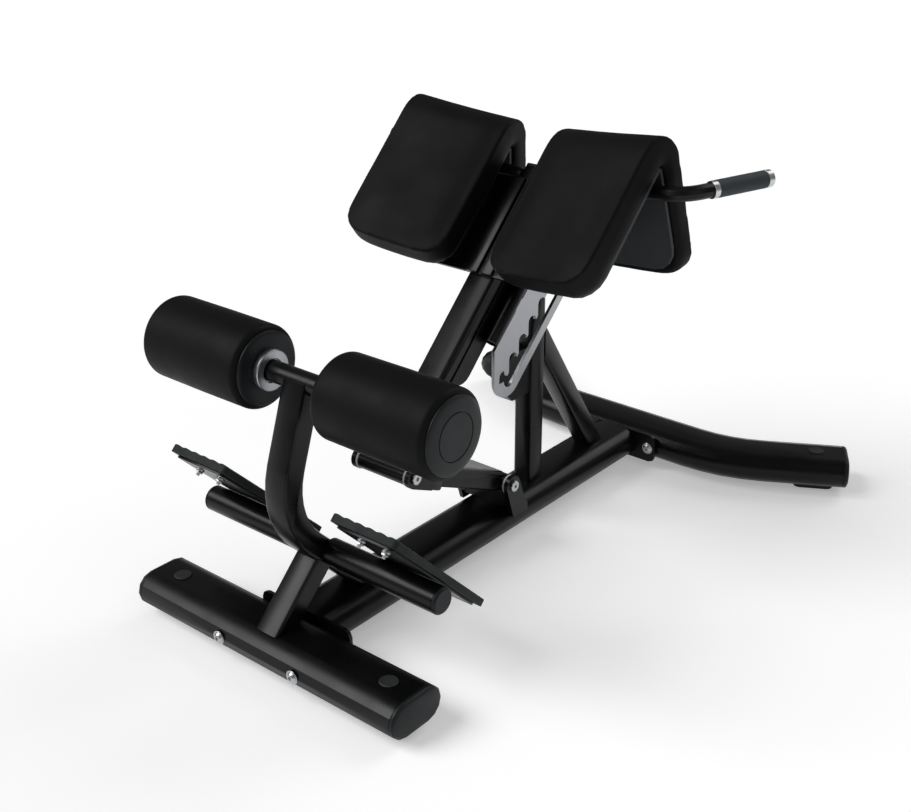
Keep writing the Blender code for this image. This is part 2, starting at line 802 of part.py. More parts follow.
def front_path():
    """The front foot's centre line, from its left end to its right end."""
    reach = FRONT_BEND_RADIUS * tan(FRONT_TURN / 2)
    centre = (FRONT_VERTEX_X - reach, FRONT_FOOT_Y + FRONT_BEND_RADIUS)
    right = arc(centre, FRONT_BEND_RADIUS, -90, -90 + FRONT_BEND_ANGLE, FRONT_BEND_STEPS)
    back_off = OVAL_CAP_THICK + GAP
    end = (FRONT_END_X - back_off * cos(FRONT_TURN), FRONT_END_Y - back_off * sin(FRONT_TURN))
    right.append(end)
    left = [(-x, y) for x, y in reversed(right)]
    return [(x, y, OVAL_CENTRE_Z) for x, y in left + right]


def build_front_foot():
    """The bent front tube: a flat oval outline swept along the bent path."""
    outline = oval(OVAL_WIDTH, OVAL_HEIGHT)
    tube = swept_outline("front_foot_tube", outline, front_path(), OVAL_WALL, "Z_UP")
    return place(tube, "frame")


def build_front_caps():
    middle = OVAL_CAP_THICK / 2
    along = Vector((cos(FRONT_TURN), sin(FRONT_TURN), 0))
    end = Vector((FRONT_END_X, FRONT_END_Y, OVAL_CENTRE_Z)) - along * middle
    both_sides(oval_cap("front_foot_cap", frame(end, along, Z_AXIS)), "front_foot_cap", "plastic")


def column_path():
    """The column's centre line: up from the rail, round the bend, and to the crossbar."""
    lean = radians(COLUMN_LEAN)
    toe = radians(COLUMN_TOE_ANGLE)
    top = Vector((0, ROLLER_Y, ROLLER_Z))
    foot = Vector((0, COLUMN_TOE_Y, OVAL_TOP_Z))
    shift = foot.y - top.y + (top.z - foot.z) / tan(lean)
    toe_length = shift / (cos(toe) + sin(toe) / tan(lean))
    corner = foot + Vector((0, -cos(toe), sin(toe))) * toe_length
    below = foot - (corner - foot).normalized() * COLUMN_DEPTH
    return [below] + fillet(foot, corner, top, COLUMN_BEND_RADIUS, COLUMN_BEND_STEPS) + [top]


def column_solid(name, grow, wall):
    """The column's bent box tube, or the solid form of it when wall is None."""
    width = COLUMN_WIDTH + 2 * grow
    depth = COLUMN_DEPTH + 2 * grow
    outline = rounded(width, depth, BOX_CORNER + grow)
    return swept_outline(name, outline, column_path(), wall, "MINIMUM")


def moved_outline(points, distance):
    """An outline with each point moved outward, or inward for a negative distance."""
    area = sum(
        a[0] * b[1] - b[0] * a[1] for a, b in zip(points, points[1:] + points[:1]))
    turn = 1 if area > 0 else -1
    result = []
    for before, here, after in zip(points[-1:] + points[:-1], points, points[1:] + points[:1]):
        first = Vector((here[0] - before[0], here[1] - before[1])).normalized()
        second = Vector((after[0] - here[0], after[1] - here[1])).normalized()
        normal = Vector((first.y + second.y, -first.x - second.x)).normalized() * turn
        scale = distance / max(MITRE_LIMIT, normal.dot(Vector((first.y, -first.x)) * turn))
        result.append((here[0] + normal.x * scale, here[1] + normal.y * scale))
    return result


def build_column_and_leg():
    """Column with its hollow, rear leg, crossbar with roller axles, and foot bar halves."""
    column = column_solid("column", 0, BOX_WALL)
    below = beyond("column_floor", (0, COLUMN_TOE_Y, OVAL_TOP_Z + GAP), -Z_AXIS)
    seat = across(0, ROLLER_Y, ROLLER_Z)
    notch = hide(rod("crossbar_seat", CROSSBAR_RADIUS + GAP, 2 * COLUMN_WIDTH, seat))
    cut(column, below, notch)
    place(column, "frame")

    lean = radians(LEG_ANGLE)
    up_leg = Vector((0, cos(lean), sin(lean)))
    foot = Vector((0, LEG_CENTRE_Y, OVAL_TOP_Z))
    middle = foot + up_leg * (LEG_REACH - LEG_DEPTH) / 2
    length = LEG_REACH + LEG_DEPTH
    leg = box_tube("rear_leg", LEG_WIDTH, LEG_DEPTH, length, frame(middle, up_leg, Z_AXIS))
    floor = beyond("leg_floor", (0, LEG_CENTRE_Y, OVAL_TOP_Z + GAP), -Z_AXIS)
    cut(leg, floor, hide(column_solid("column_around", GAP, None)))
    place(leg, "frame")

    axle_end = ROLLER_OUTER_X - ROLLER_CAP_THICK - AXLE_END_CLEARANCE
    disc_end = ROLLER_INNER_X - GAP
    half = [
        (AXLE_RADIUS, axle_end),
        (AXLE_RADIUS, disc_end),
        (DISC_RADIUS - DISC_EDGE, disc_end),
        (DISC_RADIUS, disc_end - DISC_EDGE),
        (DISC_RADIUS, CROSSBAR_HALF),
        (CROSSBAR_RADIUS, CROSSBAR_HALF),
    ]
    lower = [(r, -h) for r, h in reversed(half)]
    bore = [(CROSSBAR_BORE_RADIUS, -axle_end), (CROSSBAR_BORE_RADIUS, axle_end)]
    crossbar = turned("roller_crossbar", half + lower + bore, seat, ROUND_SIDES, ring=True)
    place(crossbar, "steel")

    start = COLUMN_WIDTH / 2 + GAP
    hollow = FOOT_BAR_RADIUS - FOOT_BAR_WALL
    bar_profile = [
        (0, start + FOOT_BAR_WALL),
        (hollow, start + FOOT_BAR_WALL),
        (hollow, FOOT_BAR_HALF),
        (FOOT_BAR_RADIUS, FOOT_BAR_HALF),
        (FOOT_BAR_RADIUS, start),
        (0, start),
    ]
    spot = across(0, FOOT_BAR_Y, FOOT_BAR_Z)
    both_sides(turned("foot_bar", bar_profile, spot, ROUND_SIDES), "foot_bar", "frame")
    cap_profile = [
        (0, FOOT_BAR_CAP_THICK),
        (FOOT_BAR_RADIUS - FOOT_BAR_CAP_ROUND, FOOT_BAR_CAP_THICK),
        (FOOT_BAR_RADIUS, FOOT_BAR_CAP_THICK - FOOT_BAR_CAP_ROUND),
        (FOOT_BAR_RADIUS, 0),
        (0, 0),
    ]
    spot = across(FOOT_BAR_HALF + GAP, FOOT_BAR_Y, FOOT_BAR_Z)
    both_sides(turned("foot_bar_cap", cap_profile, spot, ROUND_SIDES), "foot_bar_cap", "plastic")


def build_foot_plates():
    """Each foot plate lies on a steel backing plate that is welded to the foot bar."""
    tilt = radians(FOOT_PLATE_ANGLE)
    down = Vector((0, cos(tilt), -sin(tilt)))
    out = Vector((0, sin(tilt), cos(tilt)))
    width = FOOT_PLATE_OUTER_X - FOOT_PLATE_INNER_X
    centre_x = (FOOT_PLATE_OUTER_X + FOOT_PLATE_INNER_X) / 2
    bar = Vector((centre_x, FOOT_BAR_Y, FOOT_BAR_Z))
    middle = bar + down * (FOOT_PLATE_LENGTH / 2 - FOOT_PLATE_ABOVE_BAR)

    backing_bottom = FOOT_BAR_RADIUS + GAP
    plate_bottom = backing_bottom + FOOT_BACKING_THICK + GAP
    backing_centre = middle + out * (backing_bottom + FOOT_BACKING_THICK / 2)
    plate_centre = middle + out * (plate_bottom + FOOT_PLATE_THICK / 2)
    trim = 2 * FOOT_BACKING_INSET
    backing_outline = rounded(width - trim, FOOT_PLATE_LENGTH - trim, FOOT_PLATE_CORNER)
    backing = flat(
        "foot_backing", (backing_outline,), FOOT_BACKING_THICK, frame(backing_centre, out, -down))
    plate_outline = rounded(width, FOOT_PLATE_LENGTH, FOOT_PLATE_CORNER, 3)
    plate = flat(
        "foot_plate", (plate_outline,), FOOT_PLATE_THICK, frame(plate_centre, out, -down))

    for side, label in ((1, "outer"), (-1, "inner")):
        name = "foot_screw_" + label
        spot = (
            bar + X_AXIS * side * FOOT_SCREW_SPACING / 2
            + down * (FOOT_SCREW_FROM_END - FOOT_PLATE_ABOVE_BAR) + out * backing_bottom)
        shank = FOOT_BACKING_THICK + GAP + FOOT_SCREW_IN_PLATE
        profile = [
            (0, shank),
            (FOOT_SCREW_RADIUS, shank),
            (FOOT_SCREW_RADIUS, -GAP),
            (FOOT_SCREW_HEAD_RADIUS, -GAP),
            (FOOT_SCREW_HEAD_RADIUS, FOOT_SCREW_HEAD_ROUND - FOOT_SCREW_HEAD_HEIGHT),
            (FOOT_SCREW_HEAD_RADIUS - FOOT_SCREW_HEAD_ROUND, -FOOT_SCREW_HEAD_HEIGHT),
            (0, -FOOT_SCREW_HEAD_HEIGHT),
        ]
        hole_length = 2 * (shank + GAP)
        place_out = frame(spot, out, X_AXIS)
        hole = hide(
            rod(name + "_hole", FOOT_SCREW_RADIUS + GAP, hole_length, place_out, SCREW_SIDES))
        cut(backing, hole)
        cut(plate, hole)
        both_sides(turned(name, profile, place_out, SCREW_SIDES), name, "chrome")
    both_sides(backing, "foot_backing", "frame")
    both_sides(plate, "foot_plate", "tread")


def latch_place():
    """The latch pin's centre, just below the last notch's far top corner."""
    reach = NOTCH_PITCH * (NOTCH_COUNT - 1)
    rise = radians(NOTCH_ANGLE)
    y = NOTCH_FIRST_Y + reach * cos(rise) + NOTCH_WIDTH / 2 - LAST_NOTCH_ROUND - LATCH_INSET
    z = NOTCH_FIRST_Z + reach * sin(rise) - LATCH_RADIUS - LATCH_CLEARANCE
    return y, z


def build_post():
    """Post with its stop bracket and latch pin, strut, and the rubber stop."""
    bottom = OVAL_TOP_Z + GAP
    height = POST_TOP_Z - bottom
    middle = Vector((0, POST_Y, bottom + height / 2))
    post = box_tube("post", POST_SIZE, POST_SIZE, height, frame(middle, Z_AXIS, Y_AXIS))

    front_y = POST_Y - POST_SIZE / 2
    bracket = [
        (STOP_BRACKET_Y, STOP_BRACKET_TOP_Z),
        (STOP_BRACKET_Y - STOP_BRACKET_CHAMFER, STOP_BRACKET_TOP_Z - STOP_BRACKET_CHAMFER),
        (STOP_BRACKET_Y - STOP_BRACKET_CHAMFER, STOP_BRACKET_BOTTOM_Z + STOP_BRACKET_CHAMFER),
        (STOP_BRACKET_Y, STOP_BRACKET_BOTTOM_Z),
        (front_y + BOX_WALL, STOP_BRACKET_BOTTOM_Z),
        (front_y + BOX_WALL, STOP_BRACKET_TOP_Z),
    ]
    stub_width = POST_SIZE - 2 * BOX_CORNER
    join(post, hide(flat("stop_bracket_shape", (bracket,), stub_width, side_plane(0))))

    pin_y, pin_z = latch_place()
    half = POST_SIZE / 2
    face = PLATE_FACE_X + LATCH_PROUD
    profile = [
        (0, face),
        (LATCH_RADIUS, face),
        (LATCH_RADIUS, half - BOX_WALL),
        (0, half - BOX_WALL),
    ]
    pin = turned("latch_pin_shape", profile, across(0, pin_y, pin_z), SHAFT_SIDES)
    join(post, hide(pin))
    place(post, "frame")

    tilt = radians(STRUT_ANGLE)
    back_y = POST_Y + half
    down = Vector((0, cos(tilt), -sin(tilt)))
    top = Vector((0, back_y, STRUT_TOP_Z))
    length = (STRUT_TOP_Z - OVAL_TOP_Z) / sin(tilt) + POST_SIZE * 2
    below = Vector((0, -sin(tilt), -cos(tilt)))
    centre = top + down * (length / 2 - POST_SIZE) + below * (POST_SIZE / 2)
    strut = box_tube("strut", POST_SIZE, POST_SIZE, length, frame(centre, down, X_AXIS))
    foot_y = back_y + (STRUT_TOP_Z - OVAL_TOP_Z) / tan(tilt)
    cut(
        strut,
        beyond("strut_floor", (0, foot_y, OVAL_TOP_Z + GAP), -Z_AXIS),
        beyond("strut_face", (0, back_y + GAP, STRUT_TOP_Z), -Y_AXIS))
    place(strut, "frame")

    round_in = STOP_ROUND
    stop_face = STOP_BRACKET_Y - STOP_BRACKET_CHAMFER - GAP
    dome = [
        (STOP_RADIUS - round_in + round_in * sin(radians(a)),
         STOP_LENGTH - round_in + round_in * cos(radians(a)))
        for a in range(0, 91, 18)]
    profile = [(0, STOP_LENGTH)] + dome + [(STOP_RADIUS, 0), (0, 0)]
    spot = frame(Vector((0, stop_face, STOP_Z)), -Y_AXIS, Z_AXIS)
    place(turned("rubber_stop", profile, spot, ROUND_SIDES), "rubber")


def pivot_parts(label, y, z):
    """Bolt and flanged bush of one pivot; returns the cutters for its bores."""
    shank = EAR_OUTER_X + GAP
    head = shank + PIVOT_HEAD_HEIGHT
    half = [
        (0, head),
        (PIVOT_HEAD_RADIUS - PIVOT_HEAD_ROUND, head),
        (PIVOT_HEAD_RADIUS, head - PIVOT_HEAD_ROUND),
        (PIVOT_HEAD_RADIUS, shank),
        (PIVOT_BOLT_RADIUS, shank),
    ]
    lower = [(r, -h) for r, h in reversed(half)]
    spot = across(0, y, z)
    bolt = turned("pivot_bolt_" + label, half + lower, spot, SHAFT_SIDES)
    bush_half = [
        (BUSH_FLANGE_RADIUS, EAR_INNER_X - GAP),
        (BUSH_FLANGE_RADIUS, BARREL_HALF + GAP),
        (BUSH_RADIUS, BARREL_HALF + GAP),
    ]
    lower = [(r, -h) for r, h in reversed(bush_half)]
    inside = PIVOT_BOLT_RADIUS + PIVOT_CLEARANCE
    bore = [(inside, GAP - EAR_INNER_X), (inside, EAR_INNER_X - GAP)]
    bush = turned("pivot_bush_" + label, bush_half + lower + bore, spot, SHAFT_SIDES, ring=True)
    ear_bore = rod("ear_bore_" + label, inside, 2 * head, spot, SHAFT_SIDES)
    bore_radius = BUSH_RADIUS + PIVOT_CLEARANCE
    barrel_bore = rod("barrel_bore_" + label, bore_radius, 2 * EAR_INNER_X, spot, SHAFT_SIDES)
    return bolt, bush, hide(ear_bore), hide(barrel_bore)


def build_bracket_and_link():
    """Saddle bracket on the rail, and the swing link with its fork at the upper pivot."""
    bolt, bush, ear_bore, barrel_bore = pivot_parts("lower", PIVOT_LOW_Y, PIVOT_LOW_Z)
    front_y = BRACKET_FRONT_Y
    round_end = arc((PIVOT_LOW_Y, PIVOT_LOW_Z), EAR_RADIUS, 195, 20, 6)
    radius = BRACKET_SHOULDER_ROUND
    corner = arc((BRACKET_BACK_Y - radius, BRACKET_SHOULDER_Z - radius), radius, 80, 0, 3)
    ear = [(front_y, BRACKET_LOW_Z)] + round_end + corner + [(BRACKET_BACK_Y, BRACKET_LOW_Z)]
    bracket = flat("pivot_bracket", (ear,), EAR_THICK, side_plane(EAR_INNER_X + EAR_THICK / 2))
    other = flat("bracket_ear", (ear,), EAR_THICK, side_plane(-EAR_INNER_X - EAR_THICK / 2))
    saddle_z = OVAL_TOP_Z + GAP + BRACKET_PLATE / 2
    depth = BRACKET_BACK_Y - front_y
    inside = 2 * EAR_INNER_X + EAR_THICK
    saddle = block(
        "bracket_saddle", (inside, depth, BRACKET_PLATE),
        Matrix.Translation((0, front_y + depth / 2, saddle_z)))
    face_height = BRACKET_FACE_TOP_Z - OVAL_TOP_Z - GAP
    face_middle = Vector((0, front_y + BRACKET_PLATE / 2, BRACKET_FACE_TOP_Z - face_height / 2))
    face = block(
        "bracket_face", (inside, BRACKET_PLATE, face_height), Matrix.Translation(face_middle))
    join(bracket, hide(saddle), hide(face), hide(other))
    cut(bracket, ear_bore)
    place(bracket, "frame")
    place(bolt, "chrome")
    place(bush, "nylon")
    buffer = [
        (0, BUFFER_LENGTH),
        (BUFFER_RADIUS - BUFFER_ROUND, BUFFER_LENGTH),
        (BUFFER_RADIUS, BUFFER_LENGTH - BUFFER_ROUND),
        (BUFFER_RADIUS, 0),
        (0, 0),
    ]
    spot = frame(Vector((BUFFER_X, front_y - GAP, BUFFER_Z)), -Y_AXIS, Z_AXIS)
    place(turned("link_buffer", buffer, spot, SHAFT_SIDES), "rubber")

    bolt, bush, high_ear_bore, high_barrel_bore = pivot_parts(
        "upper", PIVOT_HIGH_Y, PIVOT_HIGH_Z)
    low = Vector((0, PIVOT_LOW_Y, PIVOT_LOW_Z))
    high = Vector((0, PIVOT_HIGH_Y, PIVOT_HIGH_Z))
    along = (high - low).normalized()
    up = along.cross(X_AXIS) * -1
    body_length = LINK_LENGTH - FORK_START
    body_middle = low + along * (body_length / 2)
    size = (2 * LINK_HALF_WIDTH, LINK_DEPTH, body_length)
    link = block("swing_link", size, frame(body_middle, along, up))
    fork_middle = high - along * (FORK_START + FORK_LENGTH / 2)
    fork = block(
        "link_fork", (2 * EAR_OUTER_X, LINK_DEPTH, FORK_LENGTH), frame(fork_middle, along, up),
        FORK_EDGE)
    barrel = rod("link_barrel", BARREL_RADIUS, 2 * BARREL_HALF, across(0, low.y, low.z))
    round_edges(link, LINK_EDGE, 2)
    join(link, hide(fork), hide(barrel))
    for side, name in ((1, "right"), (-1, "left")):
        centre = side * (EAR_INNER_X + EAR_THICK / 2)
        reach = FORK_START + FORK_LENGTH / 2
        ear = [(-reach, -LINK_DEPTH / 2)] + arc((0, 0), EAR_RADIUS, -90, 90, 8)
        ear.append((-reach, LINK_DEPTH / 2))
        matrix = Matrix((along, up, along.cross(up))).transposed().to_4x4()
        matrix.translation = high + X_AXIS * centre
        join(link, hide(flat("link_ear_" + name, (ear,), EAR_THICK, matrix)))
    cut(link, barrel_bore, high_ear_bore)
    place(link, "frame", LINK_PIVOT)
    place(bolt, "chrome", LINK_PIVOT)
    place(bush, "nylon", LINK_PIVOT)
    return high_barrel_bore


def build_seat_frame(barrel_bore):
    """Seat tube, channel behind it, side tube and end cap."""
    middle = SEAT_DEPTH / 2
    tube = box_tube(
        "seat_tube", SEAT_WIDTH, SEAT_DEPTH, SEAT_LENGTH,
        seat_frame(SEAT_LENGTH / 2, -middle))
    barrel = rod(
        "seat_barrel", BARREL_RADIUS, 2 * BARREL_HALF, across(0, PIVOT_HIGH_Y, PIVOT_HIGH_Z))
    join(tube, hide(barrel))
    cut(tube, barrel_bore)
    place(tube, "frame", SEAT_PIVOT)
    cap_outline = rounded(SEAT_WIDTH, SEAT_DEPTH, BOX_CORNER)
    cap_place = seat_frame(SEAT_LENGTH + GAP + SEAT_CAP_THICK / 2, -middle)
    cap = flat("seat_tube_cap", (cap_outline,), SEAT_CAP_THICK, cap_place)
    place(cap, "plastic", SEAT_PIVOT)

    near = -SEAT_DEPTH - GAP
    far = near - CHANNEL_DEPTH
    ends = [
        (CHANNEL_START, near),
        (CHANNEL_END, near),
        (CHANNEL_END, far),
    ]
    toe = arc((CHANNEL_START + CHANNEL_ROUND, far + CHANNEL_ROUND), CHANNEL_ROUND, 270, 180, 5)
    outline = ends + toe
    plane = Matrix((UP_SLOPE, OUT_OF_SEAT, UP_SLOPE.cross(OUT_OF_SEAT))).transposed().to_4x4()
    plane.translation = SEAT_ORIGIN + OUT_OF_SEAT * SEAT_TOP
    channel = flat("rear_channel", (outline,), SEAT_WIDTH, plane)
    hollow = moved_outline(outline, -BOX_WALL)
    out_of_end = 2 * BOX_WALL
    hollow = [(u + (out_of_end if u > CHANNEL_END - out_of_end else 0), v) for u, v in hollow]
    inside = hide(flat("channel_hollow", (hollow,), SEAT_WIDTH - 2 * BOX_WALL, plane))
    cut(channel, inside)
    place(channel, "frame", SEAT_PIVOT)

    length = SIDE_TUBE_END - SIDE_TUBE_START
    x = SEAT_WIDTH / 2 + GAP + SIDE_TUBE_RADIUS
    spot = seat_frame(SIDE_TUBE_START + length / 2, -SEAT_DEPTH - SIDE_TUBE_BELOW, x)
    side = round_tube("side_tube", SIDE_TUBE_RADIUS, SIDE_TUBE_WALL, length, spot, SHAFT_SIDES)
    place(side, "frame", SEAT_PIVOT)


def build_notched_plate():
    """A plate with upright notches that open into a slanted channel slot.

    Two lugs on its back edge reach the side tube that carries it.
    """
    rise = radians(NOTCH_ANGLE)
    along = Vector((cos(rise), sin(rise)))
    across_line = Vector((sin(rise), -cos(rise)))
    first = Vector((NOTCH_FIRST_Y, NOTCH_FIRST_Z))
    half = NOTCH_WIDTH / 2

    channel_near = NOTCH_DEPTH
    channel_far = channel_near + CHANNEL_SLOT_WIDTH
    strip_far = channel_far + PLATE_STRIP_WIDTH

    def at(a, b):
        point = first + along * a + across_line * b
        return (point.x, point.y)

    reach = NOTCH_PITCH * (NOTCH_COUNT - 1)
    centre = at(PLATE_LOW_OFFSET, strip_far - PLATE_LOW_RADIUS)
    low_end = arc(centre, PLATE_LOW_RADIUS, 180, 270 + NOTCH_ANGLE, 10)
    heel_y = centre[0] - PLATE_LOW_RADIUS
    back_far = at(reach + PLATE_ABOVE_LAST, -PLATE_BACK_WIDTH)
    lift = (heel_y - back_far[0]) * tan(rise) + back_far[1]
    outline = low_end + [at(reach + PLATE_ABOVE_LAST, strip_far), back_far, (heel_y, lift)]
    slot_radius = CHANNEL_SLOT_WIDTH / 2
    slot_middle = (channel_near + channel_far) / 2
    slot_start = at(SLOT_LOW_OFFSET, slot_middle)
    slot_low = arc(slot_start, slot_radius, 180, 270 + NOTCH_ANGLE, 6)
    high = reach + SLOT_HIGH_OFFSET
    slot = slot_low + [at(high, channel_far), at(high, channel_near)]
    plate = flat(
        "notched_plate", (outline,), PLATE_THICK, side_plane(PLATE_FACE_X - PLATE_THICK / 2))
    through = 3 * PLATE_THICK
    cutter = flat("plate_slot", (slot,), through, side_plane(PLATE_FACE_X))
    for k in range(NOTCH_COUNT):
        top = first + along * (NOTCH_PITCH * k)
        last = k == NOTCH_COUNT - 1
        corner = LAST_NOTCH_ROUND if last else NOTCH_ROUND
        side = half - corner
        low_back = NOTCH_REACH_BACK if k else FIRST_NOTCH_REACH
        shape = [(top.x + half, top.y - min(low_back, NOTCH_REACH_FRONT))]
        shape += arc((top.x + side, top.y - corner), corner, 0, 90, 3)
        shape += arc((top.x - side, top.y - corner), corner, 90, 180, 3)
        if last:
            cut_x = top.x - half - LAST_TOOTH_CUT
            shape.append((top.x - half, top.y - LAST_TOOTH_TOP))
            shape.append((cut_x, top.y - LAST_TOOTH_TOP - LAST_TOOTH_CUT))
            shape.append((cut_x, top.y - low_back - LAST_TOOTH_CUT))
        else:
            shape.append((top.x - half, top.y - low_back))
        notch = flat("notch_%d" % k, (shape,), through - 4 * GAP, side_plane(PLATE_FACE_X))
        join(cutter, hide(notch))
    hide(cutter)
    cut(plate, cutter)
    for along_seat in PLATE_LUG_PLACES:
        below = SEAT_DEPTH + SIDE_TUBE_BELOW + SIDE_TUBE_RADIUS + GAP + PLATE_LUG_DEPTH / 2
        spot = seat_frame(along_seat, -below, PLATE_FACE_X - PLATE_THICK / 2)
        size = (PLATE_THICK, PLATE_LUG_DEPTH, PLATE_LUG_LENGTH)
        join(plate, hide(block("plate_lug", size, spot)))
    place(plate, "steel", SEAT_PIVOT)


def pad_point(across_pad, out, along):
    """A point given across the right pad, out of its near back face, and up the slope."""
    origin = seat_point(0, PAD_ABOVE_SEAT, PAD_INNER_X)
    return origin + PAD_ACROSS * across_pad + PAD_OUT * out + UP_SLOPE * along


def fold(along, out):
    """Fold the flat slab over the ridge: a place along it and out of its back face."""
    turn = radians(PAD_TURN)
    share = min(max(along - NEAR_LENGTH, 0) / RIDGE_LENGTH, 1)
    beyond = max(along - NEAR_LENGTH - RIDGE_LENGTH, 0)
    out *= 1 - (1 - PAD_FAR_THICK / PAD_THICK) * share ** 2
    reach = PAD_INNER_BEND + out
    angle = turn * share
    high = reach * cos(angle) - PAD_INNER_BEND - beyond * sin(angle)
    up = PAD_START + min(along, NEAR_LENGTH) + reach * sin(angle) + beyond * cos(angle)
    return high, up


def cushion_point(across_pad, along, out):
    """Where a point of the flat cage goes: round corners, drawn-in back, crown, fold."""
    middle = Vector((PAD_WIDTH / 2, SLAB_LENGTH / 2))
    side = Vector((across_pad, along)) - middle
    edge = Vector((middle.x - abs(side.x), middle.y - abs(side.y)))
    inside = Vector((1 - edge.x / PAD_CORNER, 1 - edge.y / PAD_CORNER))
    if inside.x > 0 and inside.y > 0:
        edge = Vector((1, 1)) - inside * max(inside) / inside.length
        edge *= PAD_CORNER
    draw = PAD_DRAW_IN * max(0, 1 - out / (PAD_THICK * PAD_LAYERS[0]))
    for axis in range(2):
        reach = (middle[axis] - edge[axis]) * (1 - draw / middle[axis])
        side[axis] = reach if side[axis] > 0 else -reach
    on_ridge = NEAR_LENGTH - GAP < along < NEAR_LENGTH + RIDGE_LENGTH + GAP
    if out > PAD_THICK * PAD_LAYERS[-1] and min(edge) > PAD_EDGE and not on_ridge:
        out += PAD_CROWN
    high, up = fold(middle.y + side.y, out)
    return pad_point(middle.x + side.x, high, up)


def pad_mesh(name):
    """The cushion's cage: a box with cuts near its rims and over the ridge, then shaped."""
    rims = (PAD_EDGE, PAD_CORNER)
    ridge = [NEAR_LENGTH + RIDGE_LENGTH * k / RIDGE_STEPS for k in range(RIDGE_STEPS + 1)]
    ridge = [ridge[0] - RIDGE_HOLD, *ridge, ridge[-1] + RIDGE_HOLD]
    cuts = (
        [*rims, *(PAD_WIDTH - rim for rim in rims)],
        [*rims, *ridge, *(SLAB_LENGTH - rim for rim in rims)],
        [PAD_THICK * share for share in PAD_LAYERS],
    )
    size = Vector((PAD_WIDTH, SLAB_LENGTH, PAD_THICK))
    cage = bmesh.new()
    box = Matrix.Translation(size / 2) @ Matrix.Diagonal((*size, 1.0))
    bmesh.ops.create_cube(cage, size=1.0, matrix=box)
    for axis, places in enumerate(cuts):
        for value in places:
            spot, normal = Vector(), Vector()
            spot[axis] = value
            normal[axis] = 1
            everything = cage.verts[:] + cage.edges[:] + cage.faces[:]
            bmesh.ops.bisect_plane(cage, geom=everything, plane_co=spot, plane_no=normal)
    for vert in cage.verts:
        vert.co = cushion_point(*vert.co)
    cage.normal_update()
    bmesh.ops.recalc_face_normals(cage, faces=cage.faces)
    mesh = bpy.data.meshes.new(name)
    cage.to_mesh(mesh)
    cage.free()
    return mesh


def pad_board_half(name, length, start, turn):
    """One leg of the bent board behind a cushion, turned about the ridge line."""
    width = PAD_WIDTH - 2 * PAD_BOARD_INSET
    along_way = UP_SLOPE * cos(turn) - PAD_OUT * sin(turn)
    out_way = PAD_OUT * cos(turn) + UP_SLOPE * sin(turn)
    origin = pad_point(PAD_WIDTH / 2, 0, PAD_VERTEX if turn else 0)
    middle = origin + along_way * (start + length / 2)
    middle -= out_way * (GAP + PAD_BOARD_THICK / 2)
    corner = PAD_BOARD_CORNER
    outer = 1 if turn else -1
    half_width, half_length = width / 2, length / 2
    round_end = arc((half_width - corner, outer * (half_length - corner)), corner, 0, outer * 90, 4)
    other = arc((corner - half_width, outer * (half_length - corner)), corner, outer * 90,
                outer * 180, 4)
    outline = round_end + other + [(-half_width, -outer * half_length),
                                   (half_width, -outer * half_length)]
    return flat(name, (outline,), PAD_BOARD_THICK, frame(middle, out_way, along_way))


def build_pads():
    """Wing plate, pad boards and the two bent hip pads."""
    length = WING_END - WING_START
    wing = block(
        "wing_plate", (2 * WING_HALF, WING_THICK, length),
        seat_frame((WING_START + WING_END) / 2, GAP + WING_THICK / 2))
    top = GAP + WING_THICK
    rib_width = RIB_OUTER_X - RIB_INNER_X
    cant = radians(PAD_CANT)
    for side, name in ((1, "right"), (-1, "left")):
        rib = block(
            "rib_" + name, (rib_width, RIB_HEIGHT + WING_THICK / 2, length),
            seat_frame(
                (WING_START + WING_END) / 2, top + RIB_HEIGHT / 2 - WING_THICK / 4,
                side * (RIB_INNER_X + RIB_OUTER_X) / 2), RIB_EDGE)
        join(wing, hide(rib))
        board_low = PAD_ABOVE_SEAT - (PAD_BOARD_THICK + 2 * GAP) / cos(cant)
        inner = PAD_INNER_X + PAD_BOARD_INSET
        high = board_low + (WING_HALF - PAD_INNER_X) * tan(cant)
        low = board_low + (inner - PAD_INNER_X) * tan(cant)
        wedge = [
            (side * inner, top - WING_THICK / 2),
            (side * WING_HALF, top - WING_THICK / 2),
            (side * WING_HALF, high),
            (side * inner, low),
        ]
        plane = Matrix((X_AXIS, OUT_OF_SEAT, X_AXIS.cross(OUT_OF_SEAT))).transposed().to_4x4()
        plane.translation = seat_point(WEDGE_START + WEDGE_LENGTH / 2, 0)
        join(wing, hide(flat("wedge_" + name, (wedge,), WEDGE_LENGTH, plane)))
    place(wing, "frame", SEAT_PIVOT)

    length = PAD_VERTEX - PAD_START - PAD_BOARD_INSET - PAD_BOARD_TRIM
    board = pad_board_half("pad_board", length, PAD_VERTEX - PAD_BOARD_TRIM - length, 0)
    length = PAD_FAR_LENGTH - PAD_BOARD_INSET - PAD_BOARD_TRIM
    far = pad_board_half("pad_board_far", length, PAD_BOARD_TRIM, radians(PAD_TURN))
    join(board, hide(far))
    both_sides(board, "pad_board", "board", SEAT_PIVOT)

    pad = mesh_object("hip_pad", pad_mesh("hip_pad"), Matrix())
    modifier = pad.modifiers.new("Soft", "SUBSURF")
    modifier.levels = 1
    modifier.render_levels = 1
    both_sides(pad, "hip_pad", "vinyl", SEAT_PIVOT)


